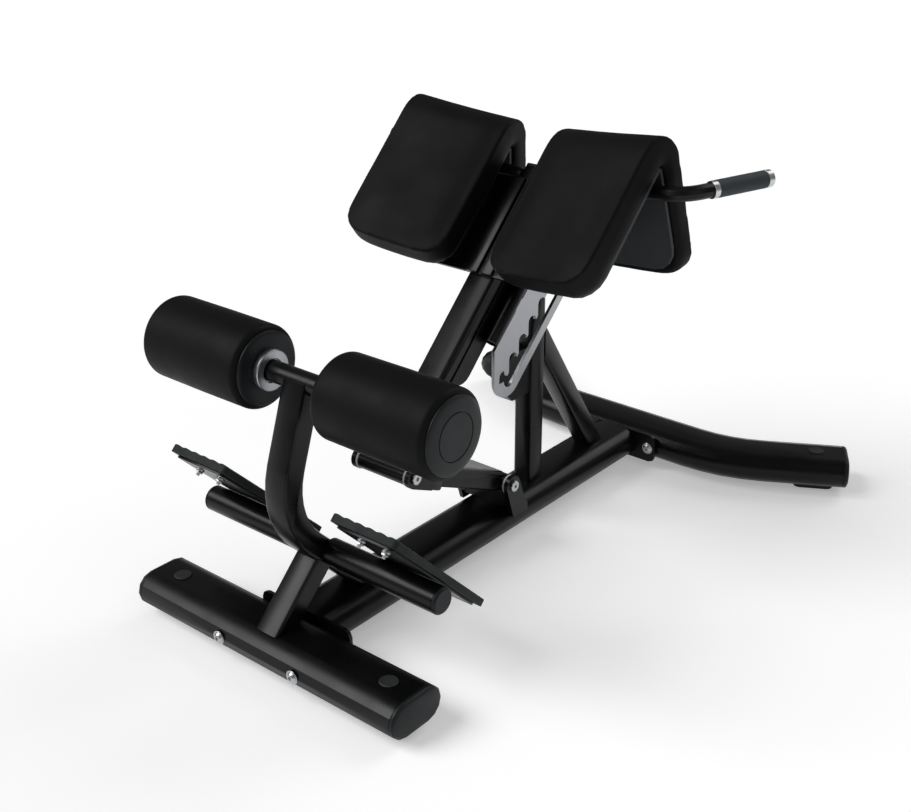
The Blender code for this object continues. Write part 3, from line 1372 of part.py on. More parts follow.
def build_handles():
    """Each handle leaves the seat tube's side under the pads and bends forward to its grip."""
    root = seat_point(HANDLE_ALONG_SEAT, -HANDLE_BELOW_TOP)
    vertex = root + PAD_ACROSS * ((HANDLE_VERTEX_X - root.x) / PAD_ACROSS.x)
    yaw = radians(HANDLE_YAW)
    lift = radians(HANDLE_RISE)
    way = Vector((cos(yaw) * cos(lift), sin(yaw) * cos(lift), sin(lift)))
    end = vertex + way * HANDLE_TO_COLLAR
    bend = fillet(root, vertex, end, HANDLE_BEND_RADIUS, HANDLE_BEND_STEPS)
    bar = swept("handle_bar", [root] + bend + [end], HANDLE_RADIUS, HANDLE_WALL, SHAFT_SIDES)
    clear = SEAT_WIDTH + 2 * GAP
    across_bar = 4 * HANDLE_RADIUS
    inside = seat_frame(HANDLE_ALONG_SEAT, -SEAT_DEPTH / 2)
    cut(bar, hide(block("handle_root", (clear, across_bar, across_bar), inside)))
    both_sides(bar, "handle_bar", "frame", SEAT_PIVOT)

    start = GAP
    grip_end = start + COLLAR_LENGTH + GRIP_LENGTH
    total = grip_end + END_CAP_LENGTH
    profile = [
        (0, total),
        (GRIP_RADIUS - END_CAP_ROUND, total),
        (GRIP_RADIUS, total - END_CAP_ROUND),
        (GRIP_RADIUS, grip_end),
        (GRIP_CORE_RADIUS, grip_end),
        (GRIP_CORE_RADIUS, start + COLLAR_LENGTH),
        (GRIP_RADIUS, start + COLLAR_LENGTH),
        (GRIP_RADIUS, start),
        (0, start),
    ]
    spot = frame(end, way, Z_AXIS)
    core = turned("handle_core", profile, spot, GRIP_SIDES)
    both_sides(core, "handle_core", "aluminium", SEAT_PIVOT)
    sleeve_start = start + COLLAR_LENGTH + GAP
    sleeve_end = grip_end - GAP
    sleeve = [
        (GRIP_RADIUS, sleeve_end),
        (GRIP_RADIUS, sleeve_start),
        (GRIP_CORE_RADIUS + GAP, sleeve_start),
        (GRIP_CORE_RADIUS + GAP, sleeve_end),
    ]
    grip = turned("handle_grip", sleeve, spot, GRIP_SIDES, ring=True)
    both_sides(grip, "handle_grip", "grip", SEAT_PIVOT)


def build_rollers():
    """Foam sleeves on plastic hubs that turn on the crossbar's axles."""
    bore = AXLE_RADIUS + AXLE_CLEARANCE
    cap_in = ROLLER_OUTER_X - ROLLER_CAP_THICK
    rim_in = ROLLER_INNER_X + ROLLER_CAP_THICK
    hub = [
        (0, ROLLER_OUTER_X + ROLLER_BOSS_HEIGHT),
        (ROLLER_BOSS_RADIUS, ROLLER_OUTER_X + ROLLER_BOSS_HEIGHT),
        (ROLLER_BOSS_RADIUS + ROLLER_BOSS_HEIGHT, ROLLER_OUTER_X),
        (ROLLER_CAP_RADIUS - ROLLER_CAP_EDGE, ROLLER_OUTER_X),
        (ROLLER_CAP_RADIUS, ROLLER_OUTER_X - ROLLER_CAP_EDGE),
        (ROLLER_CAP_RADIUS, cap_in),
        (ROLLER_SLEEVE_RADIUS, cap_in),
        (ROLLER_SLEEVE_RADIUS, rim_in),
        (ROLLER_CAP_RADIUS, rim_in),
        (ROLLER_CAP_RADIUS, ROLLER_INNER_X + ROLLER_CAP_EDGE),
        (ROLLER_CAP_RADIUS - ROLLER_CAP_EDGE, ROLLER_INNER_X),
        (bore, ROLLER_INNER_X),
        (bore, cap_in),
        (0, cap_in),
    ]
    spot = across(0, ROLLER_Y, ROLLER_Z)
    both_sides(turned("roller_hub", hub, spot, ROLLER_SIDES), "roller_hub", "plastic", ROLLER_AXIS)
    foam_end = cap_in - GAP
    foam_start = rim_in + GAP
    inside = ROLLER_SLEEVE_RADIUS + GAP
    edge = ROLLER_EDGE
    high_edge = arc((ROLLER_RADIUS - edge, foam_end - edge), edge, 90, 0, 3)
    low_edge = arc((ROLLER_RADIUS - edge, foam_start + edge), edge, 0, -90, 3)
    foam = high_edge + low_edge + [(inside, foam_start), (inside, foam_end)]
    roller = turned("roller_foam", foam, spot, ROLLER_SIDES, ring=True)
    both_sides(roller, "roller_foam", "foam", ROLLER_AXIS)


build_base_tubes()
build_column_and_leg()
build_foot_plates()
build_post()
SEAT_BORE = build_bracket_and_link()
build_seat_frame(SEAT_BORE)
build_notched_plate()
build_pads()
build_handles()
build_rollers()
bpy.context.view_layer.update()
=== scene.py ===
"""Looks of a back extension machine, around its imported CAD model. Metres, +Z up.

The steel parts keep their CAD shapes, with broken edges and a powder coat. The hip pads, the
leg rollers, the foot plates' treads and the fasteners are modelled here. Their places repeat the
part's own sizes; Y is measured from the middle of the machine's length.
"""

import json
from math import cos, pi, radians, sin, tan

import bmesh
import bpy
from mathutils import Matrix, Vector
from mathutils.bvhtree import BVHTree


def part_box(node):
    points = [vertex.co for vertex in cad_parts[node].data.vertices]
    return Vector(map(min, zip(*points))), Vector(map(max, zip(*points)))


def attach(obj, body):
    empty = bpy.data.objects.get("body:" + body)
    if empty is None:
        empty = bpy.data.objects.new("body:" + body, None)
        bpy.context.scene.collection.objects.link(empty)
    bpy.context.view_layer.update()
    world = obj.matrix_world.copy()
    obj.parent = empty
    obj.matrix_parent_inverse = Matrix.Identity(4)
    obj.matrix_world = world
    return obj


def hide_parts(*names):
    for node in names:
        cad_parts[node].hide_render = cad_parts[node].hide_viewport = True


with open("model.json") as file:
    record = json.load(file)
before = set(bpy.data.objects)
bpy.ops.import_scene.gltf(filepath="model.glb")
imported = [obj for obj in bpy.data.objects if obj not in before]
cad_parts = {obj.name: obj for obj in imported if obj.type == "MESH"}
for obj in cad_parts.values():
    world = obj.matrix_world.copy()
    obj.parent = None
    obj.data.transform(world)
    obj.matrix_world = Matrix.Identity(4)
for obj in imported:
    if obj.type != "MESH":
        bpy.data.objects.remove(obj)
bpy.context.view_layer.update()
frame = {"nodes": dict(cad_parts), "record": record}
NODES = frame["nodes"]
RECORD = frame["record"]
BODY_OF = {n: body for body, names in RECORD["behaviour"]["bodies"].items() for n in names}
SLOT_OF = {part["node"]: part["material_slot"] for part in RECORD["subparts"]}

X_AXIS = Vector((1, 0, 0))
Y_AXIS = Vector((0, 1, 0))
Z_AXIS = Vector((0, 0, 1))
ORIGIN_Y = 0.53261
WELD = 0.00002
GAP = 0.0003
CHAMFER = 0.0002
SHARP = 35
FLAT = 0.8
FRAME_EDGE = 0.0008
SIDES = (("right", 1), ("left", -1))

# Camera, fitted to the photograph
CAMERA_PLACE = Vector((1.293, -1.1316 - ORIGIN_Y, 1.218))
CAMERA_WAY = Vector((-0.575, 0.7045, -0.4152)).normalized()
CAMERA_RIGHT = Vector((0.7745, 0.6325, 0))
IMAGE_WIDTH = 911
FOCAL_PIXELS = 1339.7
SENSOR = 36
SHIFT_X = -14.11 / IMAGE_WIDTH
SHIFT_Y = -6.74 / IMAGE_WIDTH

# Seat slope and hip pads, as in the part
SEAT_ORIGIN = Vector((0, 0.2450 - ORIGIN_Y, 0.2396))
SEAT_TOP = 0.0145
SLOPE = radians(45)
UP_SLOPE = Vector((0, cos(SLOPE), sin(SLOPE)))
OUT_OF_SEAT = Vector((0, -sin(SLOPE), cos(SLOPE)))
PAD_CANT = radians(8.7)
PAD_ACROSS = X_AXIS * cos(PAD_CANT) + OUT_OF_SEAT * sin(PAD_CANT)
PAD_OUT = PAD_ACROSS.cross(UP_SLOPE)
PAD_INNER_X = 0.050
PAD_ABOVE_SEAT = 0.014
PAD_WIDTH = 0.207
PAD_THICK = 0.052
PAD_FAR_THICK = 0.038
PAD_START = 0.3290
PAD_VERTEX = 0.5855
PAD_TURN = radians(124.4)
PAD_FAR_LENGTH = 0.193
PAD_INNER_BEND = 0.004
PAD_CORNER = 0.046
PAD_EDGE = 0.015
PAD_CROWN = 0.004
CROWN_REACH = 0.05
PAD_DRAW_IN = 0.006
BACK_SHARE = 0.3
FRONT_SHARE = 0.7
RIDGE_STEPS = 7
RIDGE_HOLD = 0.012
RIDGE_LENGTH = PAD_THICK
NEAR_LENGTH = PAD_VERTEX - PAD_INNER_BEND * tan(PAD_TURN / 2) - PAD_START
SLAB_LENGTH = NEAR_LENGTH + RIDGE_LENGTH + PAD_FAR_LENGTH

# The covers' cloth simulation
CLOTH_VOXEL = 0.005
CLOTH_START = 0.0012
CLOTH_CAP = 0.0040
CLOTH_SPREADS = 40
CLOTH_FRAMES = 20
CLOTH_PRESSURE = 4.0
HELD_REACH = 0.011

# Leg rollers and their crossbar
ROLLER_AXIS = Vector((0, 0.0745 - ORIGIN_Y, 0.4463))
ROLLER_RADIUS = 0.0634
ROLLER_INNER_X = 0.0712
ROLLER_OUTER_X = 0.2854
COVER_PROUD = 0.0021
ROLLER_EDGE = 0.010
ROLLER_BELLY = 0.0004
SLEEVE_RADIUS = 0.022
CAP_THICK = 0.0044
CAP_RADIUS = 0.0570
CAP_RIM = 0.0022
CAP_BEVEL = 0.0080
CAP_GROOVE_RADIUS = 0.0345
CAP_GROOVE = 0.0011
AXLE_RADIUS = 0.0125
AXLE_END = 0.2780
CROSSBAR_RADIUS = 0.0165
DISC_START = 0.0600
DISC_END = 0.0709
DISC_RADIUS = 0.0315
DISC_HOLE = 0.0180
DISC_RECESS = 0.003
DISC_EDGE = 0.0018
ROLLER_STEPS = 96

# Foot plates, screwed to the backing plates on the foot bar
FOOT_BAR = Vector((0, 0.0936 - ORIGIN_Y, 0.1654))
FOOT_ANGLE = radians(45)
FOOT_DOWN = Vector((0, cos(FOOT_ANGLE), -sin(FOOT_ANGLE)))
FOOT_OUT = Vector((0, sin(FOOT_ANGLE), cos(FOOT_ANGLE)))
TREAD_INNER_X = 0.1093
TREAD_WIDTH = 0.1241
TREAD_LENGTH = 0.270
TREAD_ABOVE_BAR = 0.1488
TREAD_THICK = 0.013
TREAD_CORNER = 0.008
TREAD_EDGE = 0.0012
TREAD_BOTTOM = 0.0258
TREAD_RIBS = 6
TREAD_RIB_HEIGHT = 0.0022
RIB_STEPS = 8
BACKING_BOTTOM = 0.0215
FOOT_SCREW_SPACING = 0.047
FOOT_SCREW_FROM_END = 0.0405
SCREW_RADIUS = 0.0030
SCREW_INSIDE = 0.0100
SCREW_END = 0.0105
SCREW_WASHER_RADIUS = 0.0072
SCREW_WASHER_THICK = 0.0014
SCREW_NUT_RADIUS = 0.0060
SCREW_NUT_END = 0.0062
THREAD_RINGS = 8
THREAD_STEP = 0.0005

# Bolts of the pivots and of the flanges
PIVOT_PLACES = {
    "lower": Vector((0, 0.4983 - ORIGIN_Y, 0.1218)),
    "upper": Vector((0, 0.2450 - ORIGIN_Y, 0.2396)),
}
PIVOT_FACE_X = 0.0610
PIVOT_HEAD = 0.0045
PIVOT_HEAD_RADIUS = 0.0100
PIVOT_HEAD_ROUND = 0.0016
PIVOT_SHANK_RADIUS = 0.006
SOCKET_RADIUS = 0.0030
SOCKET_DEPTH = 0.0030
FLANGE_HEAD_RADIUS = 0.0088
FLANGE_HEAD = 0.0055
FLANGE_DOME_X = 0.0038
FLANGE_DOME_RADIUS = 0.0042
FLANGE_SHOULDER = 0.0036
FLANGE_SHANK_RADIUS = 0.005
WASHER_RADIUS = 0.0112
WASHER_THICK = 0.0014
FAR_WASHER_FROM_END = 0.0080
NUT_FROM_END = 0.0070
NUT_RADIUS = 0.0088

# Studio: each lamp's side, strength and spread in degrees, and the levels of the surroundings
LAMPS = {
    "key_lamp": ((-1.8, -2.2, 2.6), 2.1, 38),
    "fill_lamp": ((2.8, -0.8, 2.1), 0.22, 45),
    "back_lamp": ((0.6, 2.8, 2.3), 0.6, 38),
}
WORLD_LEVEL = 0.17
FLOOR_LIFT = 0.32
FLOOR_HALF = 15


def srgb(code):
    """A linear colour from an sRGB hex code."""
    values = [int(code[i:i + 2], 16) / 255 for i in (0, 2, 4)]
    linear = [v / 12.92 if v <= 0.04045 else ((v + 0.055) / 1.055) ** 2.4 for v in values]
    return (*linear, 1.0)


def add_node(tree, kind, sockets=None, links=None, **settings):
    """Add a node with its settings, the values of its sockets and the links into them."""
    node = tree.nodes.new(kind)
    for key, value in settings.items():
        setattr(node, key, value)
    for key, value in (sockets or {}).items():
        node.inputs[key].default_value = value
    for key, source in (links or {}).items():
        tree.links.new(source, node.inputs[key])
    return node


def make_finish(
        name, tones, roughness, cloud_mm, grain_mm, depth_mm, metallic=0.0, specular=0.5,
        grain="ShaderNodeTexNoise", **grain_settings):
    """A material whose tone and roughness drift in soft clouds, under a fine relief.

    Tones are its darkest and lightest colour and roughness its lowest and highest value.
    """
    material = bpy.data.materials.new(name)
    material.use_nodes = True
    tree = material.node_tree
    tree.nodes.clear()
    place = add_node(tree, "ShaderNodeTexCoord").outputs["Object"]
    clouds = add_node(
        tree, "ShaderNodeTexNoise", {"Scale": 1000 / cloud_mm, "Detail": 5.0}, {"Vector": place})
    share = clouds.outputs["Fac"]
    tone = add_node(
        tree, "ShaderNodeMix", {6: srgb(tones[0]), 7: srgb(tones[1])}, {0: share},
        data_type="RGBA")
    rough = add_node(
        tree, "ShaderNodeMapRange",
        {"From Min": 0.3, "From Max": 0.7, "To Min": roughness[0], "To Max": roughness[1]},
        {"Value": share})
    fine = add_node(tree, grain, {"Scale": 1000 / grain_mm}, {"Vector": place}, **grain_settings)
    relief = add_node(
        tree, "ShaderNodeBump", {"Strength": 0.5, "Distance": depth_mm / 1000},
        {"Height": fine.outputs[0]})
    shader = add_node(
        tree, "ShaderNodeBsdfPrincipled", {"Metallic": metallic, "Specular IOR Level": specular},
        {"Base Color": tone.outputs[2], "Roughness": rough.outputs["Result"],
         "Normal": relief.outputs["Normal"]})
    add_node(tree, "ShaderNodeOutputMaterial", None, {"Surface": shader.outputs["BSDF"]})
    return material


FINISHES = {
    # Semi-gloss powder coat baked on steel. Its orange peel, about 1 mm on the real frame and
    # drawn at 2.5 mm so that it shows, softens and breaks up the long highlights.
    "black_frame": make_finish(
        "black_powder_coat", ("060607", "0a0a0b"), (0.25, 0.37), 70, 2.5, 0.05, specular=0.22),
    # Laser-cut steel plate, zinc plated: a pale satin metal with a cloudy, uneven shine.
    "grey_steel": make_finish(
        "zinc_plated_steel", ("9a9da1", "b4b6b9"), (0.32, 0.48), 16, 1.2, 0.03, metallic=1.0),
    # Nickel chrome plate on bolts: nearly a mirror, dulled a little by handling.
    "chrome": make_finish(
        "nickel_chrome_plate", ("a8abad", "c4c6c8"), (0.24, 0.40), 6, 1.0, 0.01, metallic=1.0),
    # Turned aluminium of the grips' collars: fine tool marks, drawn 2 mm apart, blur its shine.
    "aluminium": make_finish(
        "turned_aluminium", ("b9bcbf", "d6d8da"), (0.22, 0.34), 12, 2.0, 0.02, metallic=1.0,
        grain="ShaderNodeTexWave", wave_type="BANDS", bands_direction="DIAGONAL"),
    # Injection-moulded ABS caps: charcoal, with the faint spark texture of the mould.
    "black_plastic": make_finish(
        "moulded_abs_caps", ("111517", "191e20"), (0.38, 0.50), 40, 1.5, 0.05, specular=0.22),
    # Foamed rubber sleeves: slate grey and matt, with fine open pores drawn at 2 mm.
    "grip_foam": make_finish(
        "foamed_rubber_grip", ("2c3336", "394145"), (0.60, 0.76), 20, 2.0, 0.25, specular=0.4),
    # Moulded EPDM rubber feet and stop: charcoal, dull, with a grey bloom.
    "rubber": make_finish(
        "moulded_epdm_rubber", ("1c1e1f", "2b2e2f"), (0.55, 0.72), 25, 2.0, 0.12, specular=0.4),
    # Turned nylon bushes: a milky white ring between the dark ears.
    "nylon": make_finish(
        "turned_nylon_bush", ("c0c0bd", "d4d4d1"), (0.30, 0.42), 8, 1.5, 0.02),
    # PVC upholstery embossed with a pebble grain, about 1 mm across on the real cover and drawn
    # at 2.4 mm so that it shows: it spreads the sheen over the padding.
    "vinyl": make_finish(
        "embossed_pvc_upholstery", ("070708", "0b0b0c"), (0.54, 0.68), 90, 2.4, 0.22,
        specular=0.12, grain="ShaderNodeTexVoronoi", feature="DISTANCE_TO_EDGE"),
    # The same embossed PVC on the rollers, wrapped tighter and rubbed a little smoother.
    "roller_cover": make_finish(
        "embossed_pvc_roller_cover", ("070708", "0b0b0c"), (0.50, 0.64), 60, 2.4, 0.20,
        specular=0.12, grain="ShaderNodeTexVoronoi", feature="DISTANCE_TO_EDGE"),
    # Moulded ABS boards behind the pads: dark grey, matt, with a leather-like mould grain.
    "pad_board": make_finish(
        "moulded_abs_board", ("303436", "3c4143"), (0.50, 0.64), 60, 2.5, 0.12, specular=0.4),
    # Moulded tread rubber: grey-green, matt and slightly rough under the shoe.
    "tread": make_finish(
        "moulded_tread_rubber", ("171c1c", "222828"), (0.50, 0.66), 30, 2.0, 0.15, specular=0.2),
}


def mesh_object(name, shape, slot, sharp=SHARP):
    """A bmesh made into an object at the origin, smooth but for its sharp edges."""
    mesh = bpy.data.meshes.new(name)
    shape.to_mesh(mesh)
    shape.free()
    mesh.shade_smooth()
    mesh.set_sharp_from_angle(angle=radians(sharp))
    mesh.materials.append(FINISHES[slot])
    item = bpy.data.objects.new(name, mesh)
    bpy.context.scene.collection.objects.link(item)
    return item


def stand_for(item, node):
    """The piece rides on its CAD node's body and is shown in its place."""
    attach(item, BODY_OF[node])
    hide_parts(node)


def break_edges(item, width, limit):
    """Round the edges that are sharper than a limit, so that they catch the light."""
    bevel = item.modifiers.new("Broken edges", "BEVEL")
    bevel.width = width
    bevel.segments = 2
    bevel.limit_method = "ANGLE"
    bevel.angle_limit = radians(limit)
    bevel.harden_normals = True


def dress(node):
    """A CAD node's shape with its edges broken."""
    shape = bmesh.new()
    shape.from_mesh(NODES[node].data)
    bmesh.ops.remove_doubles(shape, verts=shape.verts, dist=WELD)
    bmesh.ops.dissolve_limit(
        shape, angle_limit=radians(FLAT), verts=shape.verts, edges=shape.edges)
    item = mesh_object(node + "_finished", shape, SLOT_OF[node])
    break_edges(item, FRAME_EDGE, SHARP)
    stand_for(item, node)


def placement(centre, way, side):
    """A matrix that puts Z along way and X along side, at a centre."""
    turn = Matrix((side, way.cross(side), way)).transposed().to_4x4()
    turn.translation = centre
    return turn


def turned(profile, spot, steps=48):
    """A profile of (radius, height) points spun about a placement's Z axis."""
    shape = bmesh.new()
    points = [shape.verts.new((radius, 0, height)) for radius, height in profile]
    edges = [shape.edges.new(pair) for pair in zip(points, points[1:])]
    bmesh.ops.spin(
        shape, geom=points + edges, cent=(0, 0, 0), axis=Z_AXIS, angle=2 * pi, steps=steps,
        use_merge=True)
    bmesh.ops.remove_doubles(shape, verts=shape.verts, dist=WELD)
    bmesh.ops.transform(shape, matrix=spot, verts=shape.verts)
    bmesh.ops.recalc_face_normals(shape, faces=shape.faces)
    return shape


def together(*shapes):
    """Several closed shapes in one bmesh."""
    whole = bmesh.new()
    for shape in shapes:
        mesh = bpy.data.meshes.new("piece")
        shape.to_mesh(mesh)
        shape.free()
        whole.from_mesh(mesh)
        bpy.data.meshes.remove(mesh)
    return whole


def arc(radius_at, height_at, radius, start, end, steps=6):
    """Points of an arc in a profile, with its angles in degrees from the spin's axis."""
    angles = [radians(start + (end - start) * i / steps) for i in range(steps + 1)]
    return [(radius_at + radius * sin(a), height_at + radius * cos(a)) for a in angles]


def pad_place(across_pad, out, along):
    """A point given across the right pad, out of its near back face, and up the slope."""
    origin = SEAT_ORIGIN + OUT_OF_SEAT * (SEAT_TOP + PAD_ABOVE_SEAT) + X_AXIS * PAD_INNER_X
    return origin + PAD_ACROSS * across_pad + PAD_OUT * out + UP_SLOPE * along


def cushion_point(across_pad, along, out):
    """Round the flat cage's corners, draw in its back rim, crown it and fold it."""
    middle = Vector((PAD_WIDTH / 2, SLAB_LENGTH / 2))
    side = Vector((across_pad, along)) - middle
    edge = Vector((middle.x - abs(side.x), middle.y - abs(side.y)))
    inside = Vector((1 - edge.x / PAD_CORNER, 1 - edge.y / PAD_CORNER))
    if inside.x > 0 and inside.y > 0:
        edge = Vector((1, 1)) - inside * max(inside) / inside.length
        edge *= PAD_CORNER
    draw = PAD_DRAW_IN * max(0, 1 - out / (PAD_THICK * BACK_SHARE))
    for axis in range(2):
        reach = (middle[axis] - edge[axis]) * (1 - draw / middle[axis])
        side[axis] = reach if side[axis] > 0 else -reach
    share = min(max(middle.y + side.y - NEAR_LENGTH, 0) / RIDGE_LENGTH, 1)
    if out > PAD_THICK * FRONT_SHARE:
        room = min(1, max(0, min(edge) - PAD_EDGE) / CROWN_REACH)
        out += PAD_CROWN * sin(room * pi / 2) * abs(cos(share * pi))
    beyond = max(middle.y + side.y - NEAR_LENGTH - RIDGE_LENGTH, 0)
    out *= 1 - (1 - PAD_FAR_THICK / PAD_THICK) * share ** 2
    reach = PAD_INNER_BEND + out
    angle = PAD_TURN * share
    high = reach * cos(angle) - PAD_INNER_BEND - beyond * sin(angle)
    up = PAD_START + min(middle.y + side.y, NEAR_LENGTH) + reach * sin(angle)
    return pad_place(middle.x + side.x, high, up + beyond * cos(angle))


def cushion_cage():
    """The right cushion's cage: a box cut near its rims and over the ridge, then shaped."""
    rims = (PAD_EDGE * 0.5, PAD_EDGE, PAD_CORNER * 0.6, PAD_CORNER)
    ridge = [NEAR_LENGTH + RIDGE_LENGTH * k / RIDGE_STEPS for k in range(RIDGE_STEPS + 1)]
    ridge = [ridge[0] - RIDGE_HOLD, *ridge, ridge[-1] + RIDGE_HOLD]
    layers = (BACK_SHARE * 0.4, BACK_SHARE, FRONT_SHARE, 1 - BACK_SHARE * 0.4)
    cuts = (
        [*rims, PAD_WIDTH / 2, *(PAD_WIDTH - rim for rim in rims)],
        [*rims, NEAR_LENGTH / 2, *ridge, *(SLAB_LENGTH - rim for rim in rims)],
        [PAD_THICK * layer for layer in layers],
    )
    size = Vector((PAD_WIDTH, SLAB_LENGTH, PAD_THICK))
    cage = bmesh.new()
    box = Matrix.Translation(size / 2) @ Matrix.Diagonal((*size, 1.0))
    bmesh.ops.create_cube(cage, size=1.0, matrix=box)
    for axis, places in enumerate(cuts):
        for value in places:
            spot, normal = Vector(), Vector()
            spot[axis] = value
            normal[axis] = 1
            everything = cage.verts[:] + cage.edges[:] + cage.faces[:]
            bmesh.ops.bisect_plane(cage, geom=everything, plane_co=spot, plane_no=normal)
    for vert in cage.verts:
        vert.co = cushion_point(*vert.co)
    bmesh.ops.recalc_face_normals(cage, faces=cage.faces)
    return cage


def apply_modifiers(item):
    """Swap an object's mesh for what its modifiers make of it."""
    graph = bpy.context.evaluated_depsgraph_get()
    made = bpy.data.meshes.new_from_object(item.evaluated_get(graph))
    old = item.data
    item.modifiers.clear()
    item.data = made
    bpy.data.meshes.remove(old)


def subdivide(item, levels):
    """Smooth a mesh by subdivision, and apply it."""
    soft = item.modifiers.new("Soft", "SUBSURF")
    soft.levels = soft.render_levels = levels
    apply_modifiers(item)


def spread_moves(item, rest):
    """Move the cover from its rest places by its neighbours' mean moves, so no fold is left."""
    mesh = item.data
    near = [[] for _ in rest]
    for edge in mesh.edges:
        one, other = edge.vertices
        near[one].append(other)
        near[other].append(one)
    moves = []
    for vert, start in zip(mesh.vertices, rest):
        move = vert.co - start
        moves.append(move * min(1, CLOTH_CAP / max(move.length, WELD)))
    for _ in range(CLOTH_SPREADS):
        moves = [sum((moves[i] for i in around), Vector()) / len(around) for around in near]
    for vert, start, move in zip(mesh.vertices, rest, moves):
        vert.co = start + move


def inflate(item, board):
    """Let the cover stretch over its foam in a cloth simulation, with its back held."""
    shaped = BVHTree.FromObject(item, bpy.context.evaluated_depsgraph_get())
    remesh = item.modifiers.new("Remesh", "REMESH")
    remesh.mode = "VOXEL"
    remesh.voxel_size = CLOTH_VOXEL
    apply_modifiers(item)
    for vert in item.data.vertices:
        place, normal, _, _ = shaped.find_nearest(vert.co)
        vert.co = place - normal * CLOTH_START
    rest = [vert.co.copy() for vert in item.data.vertices]
    tree = BVHTree.FromObject(board, bpy.context.evaluated_depsgraph_get())
    held = item.vertex_groups.new(name="held")
    for index, place in enumerate(rest):
        if tree.find_nearest(place)[3] < HELD_REACH:
            held.add([index], 1.0, "REPLACE")
    cloth = item.modifiers.new("Cloth", "CLOTH")
    cloth.settings.vertex_group_mass = "held"
    cloth.settings.use_pressure = True
    cloth.settings.uniform_pressure_force = CLOTH_PRESSURE
    cloth.settings.effector_weights.gravity = 0
    cloth.point_cache.frame_end = CLOTH_FRAMES
    for step in range(1, CLOTH_FRAMES + 1):
        bpy.context.scene.frame_set(step)
    apply_modifiers(item)
    bpy.context.scene.frame_set(1)
    spread_moves(item, rest)
    subdivide(item, 1)


def build_hip_pads():
    """Two bent cushions; the left one is the right one's mirror image."""
    right = mesh_object("hip_cushion_right", cushion_cage(), "vinyl", 180)
    subdivide(right, 2)
    inflate(right, NODES["pad_board_right"])
    right.data.shade_smooth()
    shape = bmesh.new()
    shape.from_mesh(right.data)
    bmesh.ops.scale(shape, vec=(-1, 1, 1), verts=shape.verts)
    bmesh.ops.reverse_faces(shape, faces=shape.faces)
    left = mesh_object("hip_cushion_left", shape, "vinyl", 180)
    for item, side in ((right, "right"), (left, "left")):
        stand_for(item, "hip_pad_" + side)


def roller_cap_profile():
    """The hub's profile: a bevelled cap with a round groove, a sleeve and an inner cap."""
    outer = ROLLER_OUTER_X
    inner = ROLLER_INNER_X
    rim = CAP_RIM
    bottom = CAP_GROOVE_RADIUS
    groove = CAP_GROOVE
    face = [
        (0, outer + groove),
        (bottom - groove * 1.6, outer + groove),
        (bottom - groove * 0.6, outer + groove * 0.6),
        (bottom - groove * 0.4, outer - groove),
        (bottom + groove * 0.4, outer - groove),
        (bottom + groove * 0.6, outer + groove * 0.6),
        (bottom + groove * 1.4, outer + groove * 0.9),
        (CAP_RADIUS - CAP_BEVEL, outer),
    ]
    face += arc(CAP_RADIUS - rim, outer - rim * 1.6, rim, 25, 90)
    back = [
        (CAP_RADIUS, outer - CAP_THICK),
        (SLEEVE_RADIUS, outer - CAP_THICK),
        (SLEEVE_RADIUS, inner + CAP_THICK),
        (CAP_RADIUS, inner + CAP_THICK),
    ]
    back += arc(CAP_RADIUS - rim, inner + rim * 1.6, rim, 90, 155)
    bore = AXLE_RADIUS + GAP
    back += [(CAP_RADIUS - CAP_BEVEL, inner), (bore, inner), (bore, outer - CAP_THICK)]
    return face + back + [(0, outer - CAP_THICK)]


def build_rollers():
    """Covered foam sleeves with dished end caps, on a crossbar with a steel disc beside each."""
    start = ROLLER_INNER_X + CAP_THICK + GAP
    end = ROLLER_OUTER_X - CAP_THICK - GAP
    edge = ROLLER_EDGE
    full = ROLLER_RADIUS + COVER_PROUD
    radius = full - ROLLER_BELLY
    cover = arc(radius - edge, end - edge, edge, 0, 90, 8)
    cover += [(full, (start + end) / 2)]
    cover += arc(radius - edge, start + edge, edge, 90, 180, 8)
    hollow = SLEEVE_RADIUS + GAP
    cover = [(hollow, end)] + cover + [(hollow, start), (hollow, end)]
    near = DISC_START
    far = DISC_END
    round_in = DISC_EDGE
    disc = [
        (CROSSBAR_RADIUS + GAP, near + DISC_RECESS),
        (DISC_HOLE, near + DISC_RECESS),
        (DISC_HOLE, near + round_in * 0.5),
        (DISC_HOLE + round_in * 0.5, near),
    ]
    disc += arc(DISC_RADIUS - round_in, near + round_in, round_in, 180, 90, 4)
    disc += arc(DISC_RADIUS - round_in, far - round_in, round_in, 90, 0, 4)
    disc += [(CROSSBAR_RADIUS + GAP, far), (CROSSBAR_RADIUS + GAP, near + DISC_RECESS)]
    discs = []
    for side, way in SIDES:
        spot = placement(ROLLER_AXIS, X_AXIS * way, Y_AXIS)
        foam = mesh_object(
            "roller_cover_" + side, turned(cover, spot, ROLLER_STEPS), "roller_cover")
        stand_for(foam, "roller_foam_" + side)
        cap = turned(roller_cap_profile(), spot, ROLLER_STEPS)
        stand_for(
            mesh_object("roller_cap_" + side, cap, "black_plastic", 20), "roller_hub_" + side)
        discs.append(turned(disc, spot, ROLLER_STEPS))
    half = [(0, AXLE_END), (AXLE_RADIUS, AXLE_END), (AXLE_RADIUS, far), (CROSSBAR_RADIUS, far)]
    bar = half + [(radius, -height) for radius, height in reversed(half)]
    spot = placement(ROLLER_AXIS, X_AXIS, Y_AXIS)
    tube = mesh_object("roller_crossbar_tube", turned(bar, spot, ROLLER_STEPS), "black_frame")
    rings = mesh_object("roller_side_discs", together(*discs), "grey_steel")
    for item in (tube, rings):
        stand_for(item, "roller_crossbar")


